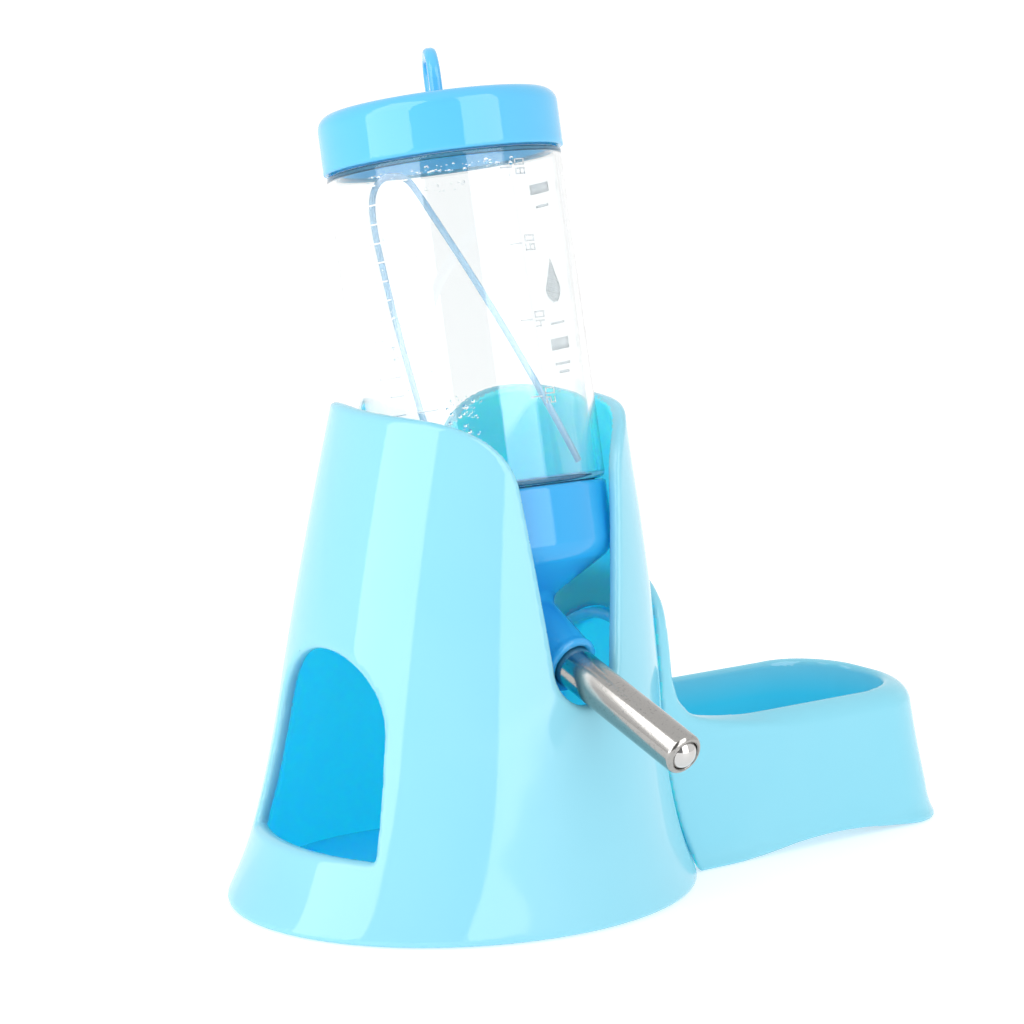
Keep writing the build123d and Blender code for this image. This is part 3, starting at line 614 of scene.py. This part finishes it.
def make_drawn_group():
    """Drawn metal: fine lines along Z, shallow pits and a little uneven polish."""
    group, given, out = new_group("drawn_metal", [
        ("Colour", "NodeSocketColor", (1, 1, 1, 1)), ("Dull colour", "NodeSocketColor", (1, 1, 1, 1)),
        ("Lean", "NodeSocketFloat", 0.0), ("Roughness", "NodeSocketFloat", 0.1),
        ("Line depth", "NodeSocketFloat", 0.00001), ("Pit depth", "NodeSocketFloat", 0.00001)],
        GROUP_OUTPUTS)
    place = node(group, "ShaderNodeTexCoord").outputs["Object"]
    along = node(group, "ShaderNodeVectorRotate", set_rotation_type="X_AXIS", Vector=place,
                 Angle=given.outputs["Lean"])
    drawn = node(group, "ShaderNodeMapping", Vector=along.outputs[0], Scale=(1.0, 1.0, 0.03))
    lines = node(group, "ShaderNodeTexNoise", Vector=drawn.outputs[0], Scale=1500.0, Detail=3.0)
    pits = node(group, "ShaderNodeTexNoise", Vector=place, Scale=2400.0, Detail=4.0, Roughness=0.65)
    pitted = node(group, "ShaderNodeMapRange", Value=pits.outputs["Fac"], i1=0.56, i2=0.74)
    colour = node(group, "ShaderNodeMix", set_data_type="RGBA", i0=pitted.outputs[0],
                  i6=given.outputs["Colour"], i7=given.outputs["Dull colour"])
    rough = node(group, "ShaderNodeMath", set_operation="MULTIPLY_ADD", i0=lines.outputs["Fac"], i1=0.08,
                 i2=given.outputs["Roughness"])
    line_height = node(group, "ShaderNodeMath", set_operation="MULTIPLY", i0=lines.outputs["Fac"],
                       i1=given.outputs["Line depth"])
    height = node(group, "ShaderNodeMath", set_operation="MULTIPLY_ADD", i0=pitted.outputs[0],
                  i1=given.outputs["Pit depth"], i2=line_height.outputs[0])
    bump = node(group, "ShaderNodeBump", Strength=1.0, Distance=1.0, Height=height.outputs[0])
    group.links.new(colour.outputs[2], out.inputs["Colour"])
    group.links.new(rough.outputs[0], out.inputs["Roughness"])
    group.links.new(bump.outputs[0], out.inputs["Normal"])
    return group


DRAWN = make_drawn_group()


def finish_material(name, group, values, shader_values):
    """A material whose group feeds colour, roughness and normal to one Principled shader."""
    material = bpy.data.materials.new(name)
    material.use_nodes = True
    tree = material.node_tree
    tree.nodes.clear()
    surface = tree.nodes.new("ShaderNodeGroup")
    surface.node_tree = group
    for label, value in values.items():
        surface.inputs[label].default_value = value
    shader = node(tree, "ShaderNodeBsdfPrincipled", Base_Color=surface.outputs["Colour"],
                  Roughness=surface.outputs["Roughness"], Normal=surface.outputs["Normal"])
    for label, value in shader_values.items():
        shader.inputs[label].default_value = value
    output = tree.nodes.new("ShaderNodeOutputMaterial")
    tree.links.new(shader.outputs[0], output.inputs["Surface"])
    return material


def let_light_through(material, colour):
    """Lamps shine on through this clear material as if it weren't there."""
    tree = material.node_tree
    shader = next(n for n in tree.nodes if n.type == "BSDF_PRINCIPLED")
    output = next(n for n in tree.nodes if n.type == "OUTPUT_MATERIAL")
    path = tree.nodes.new("ShaderNodeLightPath")
    clear = node(tree, "ShaderNodeBsdfTransparent", Color=colour)
    mix = tree.nodes.new("ShaderNodeMixShader")
    tree.links.new(path.outputs["Is Shadow Ray"], mix.inputs[0])
    tree.links.new(shader.outputs[0], mix.inputs[1])
    tree.links.new(clear.outputs[0], mix.inputs[2])
    tree.links.new(mix.outputs[0], output.inputs["Surface"])
    return material


def blue_plastic(name, colour, deep, roughness, glow=0.0, hollow=(0.06, 0.60, 0.88)):
    """A glossy moulded blue; glow is how far light soaks through its wall, in metres, and also turns on a
    faint painted glow. hollow is the painted shade colour down in a cavity.
    """
    values = {
        "Colour": (*colour, 1), "Deep colour": (*deep, 1), "Roughness": roughness, "Scuff": 0.06,
        "Painted cavity shade colour": (*hollow, 1),
    }
    soak_and_painted_glow = {}
    if glow:
        soak_and_painted_glow = {
            "Subsurface Weight": 1.0, "Subsurface Radius": (0.25, 0.7, 1.8), "Subsurface Scale": glow,
            # painted glow: a faint blue emission standing in for light shining through the thin wall
            "Emission Color": (0.04, 0.45, 1.0, 1), "Emission Strength": 0.05,
        }
    return finish_material(name, MOULDED, values, {"IOR": 1.5, **soak_and_painted_glow})


stand_plastic = blue_plastic("stand_plastic", (0.29, 0.70, 0.85), (0.275, 0.69, 0.845), 0.06)
# painted light: the hut's inner faces take a brighter, more saturated copy of its blue with a faint painted
# glow; their rougher finish and the light soaking through the wall are real
stand_inside_painted_light = blue_plastic("stand_inside_painted_light", (0.16, 0.79, 0.99), (0.15, 0.78, 0.985), 0.2, 0.016)
# the bowl's hollow colour is the painted shade down in the food cavity
bowl_plastic = blue_plastic("bowl_plastic", (0.265, 0.70, 0.855), (0.25, 0.69, 0.85), 0.07,
                            hollow=(0.09, 0.75, 0.97))
# painted light: the bowl's faces inside the hut take the same brighter, more saturated copy with a faint
# painted glow
bowl_inside_painted_light = blue_plastic("bowl_inside_painted_light", (0.16, 0.79, 0.99), (0.15, 0.78, 0.985), 0.2, 0.016)
cap_plastic = blue_plastic("cap_plastic", (0.12, 0.565, 0.92), (0.11, 0.555, 0.915), 0.06)
# painted light: the cap's inner faces take a brighter, more saturated copy of its blue with a faint painted
# glow
cap_inside_painted_light = blue_plastic("cap_inside_painted_light", (0.12, 0.62, 0.99), (0.11, 0.61, 0.985), 0.2, 0.01)
head_plastic = blue_plastic("head_plastic", (0.035, 0.42, 0.86), (0.03, 0.405, 0.85), 0.1)
# painted light: the floor plate inside the hut takes the same brighter, more saturated blue and faint
# painted glow as the hut's inner faces
floor_plastic_painted_light = blue_plastic("floor_plastic_painted_light", (0.13, 0.76, 0.98), (0.12, 0.75, 0.975), 0.08, 0.01)
# painted blue: the clear bottle's necks, hidden in the cap and cup, are made an opaque blue standing in for
# the blue cap and cup seen through them
neck_painted_blue = blue_plastic("neck_painted_blue", (0.22, 0.66, 0.92), (0.20, 0.64, 0.91), 0.3)
silicone = finish_material(
    "silicone", MOULDED,
    {"Colour": (0.8, 0.83, 0.85, 1), "Deep colour": (0.76, 0.8, 0.82, 1), "Roughness": 0.45, "Scuff": 0.1},
    {"IOR": 1.42})
seal_rubber = finish_material(
    "seal_rubber", MOULDED,
    {"Colour": (0.05, 0.055, 0.06, 1), "Deep colour": (0.04, 0.045, 0.05, 1), "Roughness": 0.55,
     "Scuff": 0.1},
    {"IOR": 1.5})
clear_plastic = let_light_through(finish_material(
    "clear_plastic", MOULDED,
    {"Colour": (0.955, 0.97, 0.972, 1), "Deep colour": (0.945, 0.965, 0.968, 1), "Ripple size": 40.0,
     "Ripple height": 0.00004, "Grain height": 0.0, "Roughness": 0.0, "Scuff": 0.03},
    {"IOR": 1.49, "Transmission Weight": 1.0}), (0.95, 0.97, 0.97, 1))
water = let_light_through(finish_material(
    "water", MOULDED,
    {"Colour": (1, 1, 1, 1), "Deep colour": (0.99, 1, 1, 1), "Grain height": 0.0, "Ripple height": 0.0,
     "Roughness": 0.0, "Scuff": 0.0},
    {"IOR": 1.33, "Transmission Weight": 1.0}), (1, 1, 1, 1))
tie_plastic = finish_material(
    "tie_plastic", MOULDED,
    {"Colour": (0.62, 0.82, 0.95, 1), "Deep colour": (0.56, 0.78, 0.94, 1), "Roughness": 0.2,
     "Scuff": 0.05},
    {"IOR": 1.5, "Transmission Weight": 0.5})
steel = finish_material(
    "steel", DRAWN,
    {"Colour": (0.39, 0.38, 0.365, 1), "Dull colour": (0.20, 0.20, 0.20, 1), "Lean": TUBE_LEAN,
     "Roughness": 0.10, "Line depth": 0.000008, "Pit depth": 0.000004},
    {"Metallic": 1.0})
ball_steel = finish_material(
    "ball_steel", DRAWN,
    {"Colour": (0.60, 0.59, 0.58, 1), "Dull colour": (0.54, 0.54, 0.54, 1), "Roughness": 0.02,
     "Line depth": 0.0, "Pit depth": 0.0},
    {"Metallic": 1.0})
white_ink = finish_material(
    "white_ink", MOULDED,
    {"Colour": (0.93, 0.95, 0.96, 1), "Deep colour": (0.88, 0.91, 0.93, 1), "Roughness": 0.4,
     "Scuff": 0.1},
    {"IOR": 1.45})
grey_ink = finish_material(
    "grey_ink", MOULDED,
    {"Colour": (0.92, 0.95, 0.96, 1), "Deep colour": (0.88, 0.92, 0.94, 1), "Roughness": 0.35,
     "Scuff": 0.1},
    {"IOR": 1.1, "Transmission Weight": 0.6})

# ------------------------------------------------------------------ stand
solid("hut_stand", *skin(stand_field, stand_low, stand_high, CELL), FRAME_AXES, "stand", "stand_plastic",
      ["stand_shell"], stand_plastic, stand_inside_painted_light, inner=stand_wall_inside)
floor_low, floor_high = box_mm("floor_plate")
FLOOR_MIDDLE_R, FLOOR_UNDER_EDGE_R, FLOOR_TOP_EDGE_R = 0.4, 0.3, 0.5
floor_outline = outline([
    (FLOOR_MIDDLE_R, floor_low[2], 0), (floor_high[0], floor_low[2], FLOOR_UNDER_EDGE_R),
    (floor_high[0], floor_high[2], FLOOR_TOP_EDGE_R), (FLOOR_MIDDLE_R, floor_high[2], 0),
])
floor_oval = (1, floor_high[1] / floor_high[0])
solid("hut_floor", *turned(floor_outline, 128, floor_oval), FRAME_AXES, "stand", "stand_plastic",
      ["floor_plate"], floor_plastic_painted_light)

# ------------------------------------------------------------------ bowl
solid("food_tray", *skin(bowl_field, bowl_low, bowl_high, CELL), FRAME_AXES, "bowl", "bowl_plastic",
      ["food_bowl"], bowl_plastic, bowl_inside_painted_light, inner=in_stand, hollow=cavity_shade)

# ------------------------------------------------------------------ bottle
inner_r = BOTTLE_R - BOTTLE_WALL
bottle_outline = outline([
    (NECK_BORE_R, NECK_BOTTOM_W, 0.3), (NECK_R, NECK_BOTTOM_W, 0.4), (NECK_R, FOOT_W, 0.5),
    (BOTTLE_R, FOOT_W, 1.0), (BOTTLE_R, SHOULDER_W, 0.6), (TOP_NECK_R, SHOULDER_W, 0.3),
    (TOP_NECK_R, TOP_NECK_W, 0.4), (TOP_NECK_BORE_R, TOP_NECK_W, 0.4),
    (TOP_NECK_BORE_R, SHOULDER_W - SHOULDER_STEP, 0.3), (inner_r, SHOULDER_W - SHOULDER_WALL, 0.5),
    (inner_r, INNER_FOOT_W, 0.5), (NECK_BORE_R, NECK_FLARE_W, 0.3),
])
solid("bottle_wall", *turned(bottle_outline, 192), BOTTLE_AXES, "bottle", "clear_plastic", ["bottle_tube"],
      clear_plastic, neck_painted_blue, inner=bottle_necks)
cap_low, cap_high = (-CAP_R, -CAP_R, CAP_SKIRT_W), (CAP_R, CAP_R, LOOP_TOP_W)
solid("screw_cap", *skin(cap_field, cap_low, cap_high, CAP_CELL), BOTTLE_AXES, "cap", "cap_plastic",
      ["top_cap"], cap_plastic, cap_inside_painted_light, inner=cap_hollow)


def ring_seal(name, bore_r, outer_r, low_w, high_w, edge_r, body, node_name):
    """A silicone ring of rectangular section round the bottle's axis."""
    section = outline([(bore_r, low_w, edge_r), (outer_r, low_w, edge_r),
                       (outer_r, high_w, edge_r), (bore_r, high_w, edge_r)])
    solid(name, *turned(section), BOTTLE_AXES, body, "silicone", [node_name], silicone)


ring_seal("cap_ring_seal", TOP_NECK_BORE_R, CAP_BORE_R - CAP_SEAL_SIDE_GAP, CAP_CEILING_W - CAP_SEAL_REACH,
          CAP_CEILING_W - CAP_SEAL_TOP_GAP, 0.2, "cap_ring", "cap_seal")
ring_seal("neck_ring_seal", NECK_SEAL_BORE_R, NECK_SEAL_R, NECK_SEAL_LOW_W, NECK_SEAL_HIGH_W, 0.3,
          "gasket", "neck_gasket")


# ------------------------------------------------------------------ prints and drops on the bottle
INK_DEPTH = 0.06
ML_HEIGHT = 0.715         # the water's rise per millilitre
WATER_FLOOR_W = 2.2       # where the scale's zero lies


def plates(strokes):
    """Points and faces of thin closed plates laid round the bottle's outside.

    Each stroke is (turn about the axis in degrees, height, width round the bottle, height of the plate).
    """
    points, faces = [], []
    corners = ((-INK_DEPTH / 2, -0.5), (INK_DEPTH / 2, -0.5), (INK_DEPTH / 2, 0.5), (-INK_DEPTH / 2, 0.5))
    for turn, w, wide, tall in strokes:
        steps = max(1, math.ceil(wide))
        angles = math.radians(turn) + np.linspace(-wide / 2, wide / 2, steps + 1) / BOTTLE_R
        first = len(points)
        for a in angles:
            for proud, rise in corners:
                r = BOTTLE_R + proud
                points.append((r * math.cos(a), r * math.sin(a), w + rise * tall))
        for i in range(steps):
            b = first + 4 * i
            faces += [(b + k, b + 4 + k, b + 4 + (k + 1) % 4, b + (k + 1) % 4) for k in range(4)]
        end = first + 4 * steps
        faces += [(first, first + 1, first + 2, first + 3), (end + 3, end + 2, end + 1, end)]
    return np.array(points), np.array(faces)


# the seven bars of a plain numeral: across, up, whether upright
NUMERAL_BARS = [(0, 2, 0), (-1, 1, 1), (1, 1, 1), (0, 0, 0), (-1, -1, 1), (1, -1, 1), (0, -2, 0)]
NUMERAL_LIT = {"0": "1110111", "2": "1011101", "4": "0111010", "6": "1101111", "8": "1111111"}
NUMERAL_HALF, NUMERAL_LINE, NUMERAL_PITCH = 0.5, 0.26, 1.7


def scale_height(ml):
    """Height along the bottle of a scale line."""
    return WATER_FLOOR_W + ml * ML_HEIGHT


def upright_numerals(text, turn, w):
    """Strokes of numerals that read up the bottle, one above the other along its axis."""
    strokes = []
    bar, line = 2 * NUMERAL_HALF + NUMERAL_LINE, NUMERAL_LINE
    for place, digit in enumerate(text):
        for (across, up, tall), lit in zip(NUMERAL_BARS, NUMERAL_LIT[digit]):
            if lit == "1":
                along = w + place * NUMERAL_PITCH + across * NUMERAL_HALF
                round_by = turn - math.degrees(up * NUMERAL_HALF / BOTTLE_R)
                strokes.append((round_by, along, bar if tall else line, line if tall else bar))
    return strokes


SCALE_TURN, NUMERAL_TURN, BACK_PRINT_TURN = -170.0, -92.0, -8.0
TICK_TALL, LONG_TICK, SHORT_TICK, SECOND_TICK, NUMERAL_TICK = 0.3, 5.6, 3.2, 4.4, 2.6
LONG_TICK_SHIFT, SECOND_COLUMN, NUMERAL_TICK_SHIFT, NUMERAL_DROP = 3, 16, 8, 0.8
scale_strokes = []
for ml in range(20, 81, 5):
    if ml % 10:
        scale_strokes.append((SCALE_TURN, scale_height(ml), SHORT_TICK, TICK_TALL))
    else:
        scale_strokes.append((SCALE_TURN - LONG_TICK_SHIFT, scale_height(ml), LONG_TICK, TICK_TALL))
for ml in range(20, 81, 10):
    scale_strokes.append((SCALE_TURN + SECOND_COLUMN, scale_height(ml), SECOND_TICK, TICK_TALL))
solid("printed_scale", *plates(scale_strokes), BOTTLE_AXES, "bottle", None, [], white_ink)

# a drop drawn in rows, and plain bars above and below it: height, width, height of the bar
DROP_ROWS, DROP_ROW_TALL, DROP_LOW_W, DROP_TALL = 24, 0.36, 35.0, 8.4
DROP_HALF, DROP_ROUND_SHARE, DROP_LEAST_WIDE = 2.9, 0.33, 0.3
PLAIN_BARS = [(57.0, 7.5, 1.9), (53.6, 5.0, 0.5), (31.0, 5.5, 0.4), (27.0, 7.0, 2.2), (23.2, 6.0, 0.5),
              (21.6, 4.0, 0.5)]
grey_strokes = []
for ml in (20, 40, 60, 80):
    grey_strokes += upright_numerals(str(ml), NUMERAL_TURN, scale_height(ml) - NUMERAL_DROP)
    grey_strokes.append((NUMERAL_TURN - NUMERAL_TICK_SHIFT, scale_height(ml), NUMERAL_TICK, TICK_TALL))
for k in range(DROP_ROWS):
    share = (k + 0.5) / DROP_ROWS
    if share < DROP_ROUND_SHARE:
        half = DROP_HALF * math.sqrt(max(0, 1 - ((share - DROP_ROUND_SHARE) / DROP_ROUND_SHARE) ** 2))
    else:
        half = DROP_HALF * (1 - share) / (1 - DROP_ROUND_SHARE)
    row_w = DROP_LOW_W + DROP_TALL * share
    grey_strokes.append((BACK_PRINT_TURN, row_w, max(DROP_LEAST_WIDE, 2 * half), DROP_ROW_TALL))
grey_strokes += [(BACK_PRINT_TURN, *bar) for bar in PLAIN_BARS]
solid("printed_figures", *plates(grey_strokes), BOTTLE_AXES, "bottle", None, [], grey_ink)

WATER_R_LEAST, WATER_R_SPREAD, WATER_SUNK = 0.12, 0.3, 0.55
drop_dice = np.random.default_rng(7)
drop_points, drop_faces = [], []
bead_points, bead_faces = ball(1.0, 5)
# turn in degrees, its spread, height, its spread, how many
DROP_FIELDS = [
    (-137, 8, 14, 4, 34), (56, 9, 16, 4, 30), (-150, 24, 60.6, 0.7, 34), (-120, 26, 60.6, 0.7, 34),
    (50, 40, 60.4, 0.8, 30), (-166, 5, 35, 16, 18),
]
for turn, turn_spread, w, w_spread, count in DROP_FIELDS:
    for _ in range(count):
        a = math.radians(turn + turn_spread * drop_dice.uniform(-1, 1))
        size = WATER_R_LEAST + WATER_R_SPREAD * drop_dice.uniform() ** 3
        at = (inner_r - WATER_SUNK * size) * np.array([math.cos(a), math.sin(a), 0])
        at[2] = w + w_spread * drop_dice.uniform(-1, 1)
        drop_faces.append(bead_faces + len(bead_points) * len(drop_points))
        drop_points.append(bead_points * size + at)
solid("water_drops", np.concatenate(drop_points), np.concatenate(drop_faces), BOTTLE_AXES, "bottle",
      "clear_plastic", [], water)

# ------------------------------------------------------------------ drinking head
head_low, head_high = (-CUP_R, HEAD_LOW_Y, HEAD_LOW_W), (CUP_R, CUP_R, 0)
solid("drinking_head", *skin(head_field, head_low, head_high, HEAD_CELL), BOTTLE_AXES, "head",
      "head_plastic", ["spout_head"], head_plastic)
steel_outline = outline([
    (STEEL_LIP_R, STEEL_TIP_T, 0.22), (STEEL_LIP_R, STEEL_TIP_T - STEEL_LIP_DEEP, 0.1),
    (STEEL_BORE_R, STEEL_TIP_T - STEEL_LIP_RUN, 0.2), (STEEL_BORE_R, BUSH_SPAN[0], 0.1),
    (STEEL_R, BUSH_SPAN[0], 0.15), (STEEL_R, STEEL_TIP_T - STEEL_TIP_SHAVE, STEEL_TIP_ROUND),
], 8)
solid("steel_tube", *turned(steel_outline, 128), TUBE_AXES, "head", "steel", ["drinking_tube"], steel)
bush_outline = outline([
    (STEEL_R, BUSH_SPAN[0], 0.3), (BUSH_R, BUSH_SPAN[0], 0.3),
    (BUSH_R, BUSH_SPAN[1], 0.3), (STEEL_R, BUSH_SPAN[1], 0.3),
])
solid("tube_bush", *turned(bush_outline, 96), TUBE_AXES, "head", "seal_rubber", ["tube_seal"], seal_rubber)
for ball_name, body, ball_at, ball_node in (("tip_bead", "tip", TIP_BALL_AT, "tip_ball"),
                                            ("check_bead", "check", CHECK_BALL_AT, "check_ball")):
    solid(ball_name, *ball(BALL_R), Matrix.Translation(ball_at), body, "ball_steel", [ball_node], ball_steel)


# ------------------------------------------------------------------ tie kept in the bottle
tie_c, tie_s = math.cos(TIE_TURN), math.sin(TIE_TURN)
tie_route = [
    BOTTLE_AXES @ (Vector((deep * tie_c + across * tie_s, deep * tie_s - across * tie_c, w)) * MM)
    for across, deep, w in TIE_ROUTE
]
tie_curve = bpy.data.curves.new("hanging_tie", "CURVE")
tie_curve.dimensions = "3D"
tie_curve.resolution_u = 24
tie_curve.bevel_depth = TIE_R * MM
tie_curve.bevel_resolution = 5
tie_curve.use_fill_caps = True
tie_spline = tie_curve.splines.new("NURBS")
tie_spline.points.add(len(tie_route) - 1)
for control, at in zip(tie_spline.points, tie_route):
    control.co = (*at, 1.0)
tie_spline.order_u = 3
tie_spline.use_endpoint_u = True
tie = placed("hanging_tie", tie_curve, "bottle", "tie_plastic", ["tie_cord"], tie_plastic)

# ------------------------------------------------------------------ camera, light, floor
CAMERA_TURN, CAMERA_RISE, CAMERA_ROLL = (math.radians(a) for a in (-41.28, 10.55, 1.54))
CAMERA_AT = Vector((-0.48471, -0.56275, 0.21224))
LENS_MM = 138.98
turn_c, turn_s = math.cos(CAMERA_TURN), math.sin(CAMERA_TURN)
rise_c, rise_s = math.cos(CAMERA_RISE), math.sin(CAMERA_RISE)
back = Vector((turn_s * rise_c, -turn_c * rise_c, rise_s))
right = Vector((turn_c, turn_s, 0))
up = back.cross(right)
roll_c, roll_s = math.cos(CAMERA_ROLL), math.sin(CAMERA_ROLL)
camera_axes = Matrix((roll_c * right + roll_s * up, roll_c * up - roll_s * right, back)).transposed()
camera_data = bpy.data.cameras.new("studio_camera")
camera_data.lens = LENS_MM
camera_data.sensor_width = 36.0
camera_data.clip_start, camera_data.clip_end = 0.05, 50
camera = bpy.data.objects.new("studio_camera", camera_data)
bpy.context.scene.collection.objects.link(camera)
camera.matrix_world = Matrix.Translation(CAMERA_AT) @ camera_axes.to_4x4()
bpy.context.scene.camera = camera
bpy.context.scene.view_settings.view_transform = "Standard"

AIM = Vector((0, 0, 0.08))
TOWARD = Vector((turn_s, -turn_c, 0))


def softbox(name, angle, height, width, tall, radiance, glossy):
    """An upright white softbox a metre away, turned from the front by an angle, for gloss or for fill."""
    light = bpy.data.lights.new(name, "AREA")
    light.shape = "RECTANGLE"
    light.size, light.size_y = width, tall
    light.energy = radiance * math.pi * width * tall
    lamp = bpy.data.objects.new(name, light)
    bpy.context.scene.collection.objects.link(lamp)
    a = math.radians(angle)
    out = TOWARD * math.cos(a) + right * math.sin(a)
    lamp.location = AIM + out + Vector((0, 0, height))
    lamp.rotation_mode = "QUATERNION"
    lamp.rotation_quaternion = (lamp.location - AIM).to_track_quat("Z", "Y")
    lamp.visible_glossy = glossy
    lamp.visible_diffuse = not glossy
    lamp.visible_transmission = glossy
    lamp.visible_camera = False


softbox("left_box_shine", -50, 0.35, 0.85, 1.7, 3.1, True)
softbox("right_box_shine", 43, 0.35, 0.72, 1.7, 3.0, True)
softbox("left_box", -50, 0.45, 0.85, 1.3, 1.25, False)
softbox("right_box", 43, 0.45, 0.72, 1.3, 0.5, False)

# the room is white all round, but its near side looks darker in gloss
DARK_FROM, DARK_TO, DARK_SHARE, ROOM_FILL, ROOM_SEEN = 0.2, 0.85, 0.25, 0.85, 1.05
world = bpy.data.worlds.new("white_room")
bpy.context.scene.world = world
world.use_nodes = True
world.node_tree.nodes.clear()
wt = world.node_tree
direction = node(wt, "ShaderNodeTexCoord").outputs["Generated"]
facing = node(wt, "ShaderNodeVectorMath", set_operation="DOT_PRODUCT", i0=direction, i1=TOWARD)
dark = node(wt, "ShaderNodeMapRange", set_interpolation_type="SMOOTHSTEP", Value=facing.outputs["Value"],
            i1=DARK_FROM, i2=DARK_TO, i3=1.0, i4=DARK_SHARE)
path = node(wt, "ShaderNodeLightPath")
soft = node(wt, "ShaderNodeMix", set_data_type="FLOAT", i0=path.outputs["Is Diffuse Ray"],
            i2=dark.outputs[0], i3=ROOM_FILL)
strength = node(wt, "ShaderNodeMix", set_data_type="FLOAT", i0=path.outputs["Is Camera Ray"],
                i2=soft.outputs[0], i3=ROOM_SEEN)
sky = node(wt, "ShaderNodeBackground", Color=(1, 1, 1, 1), Strength=strength.outputs[0])
wt.links.new(sky.outputs[0], node(wt, "ShaderNodeOutputWorld").inputs["Surface"])

FLOOR_HALF, FLOOR_BELOW = 3.0, 0.0002
floor_corners = [(-FLOOR_HALF, -FLOOR_HALF, 0), (FLOOR_HALF, -FLOOR_HALF, 0),
                 (FLOOR_HALF, FLOOR_HALF, 0), (-FLOOR_HALF, FLOOR_HALF, 0)]
floor_mesh = bpy.data.meshes.new("studio_floor")
floor_mesh.from_pydata(floor_corners, [], [(0, 1, 2, 3)])
floor = bpy.data.objects.new("studio_floor", floor_mesh)
bpy.context.scene.collection.objects.link(floor)
floor.location.z = -FLOOR_BELOW
floor_paint = finish_material(
    "studio_floor", MOULDED,
    {"Colour": (0.70, 0.70, 0.70, 1), "Deep colour": (0.69, 0.69, 0.69, 1), "Roughness": 0.6,
     "Grain height": 0.0, "Ripple height": 0.0},
    {"Specular IOR Level": 0.2, "Emission Color": (1, 1, 1, 1), "Emission Strength": 0.5})
floor_mesh.materials.append(floor_paint)
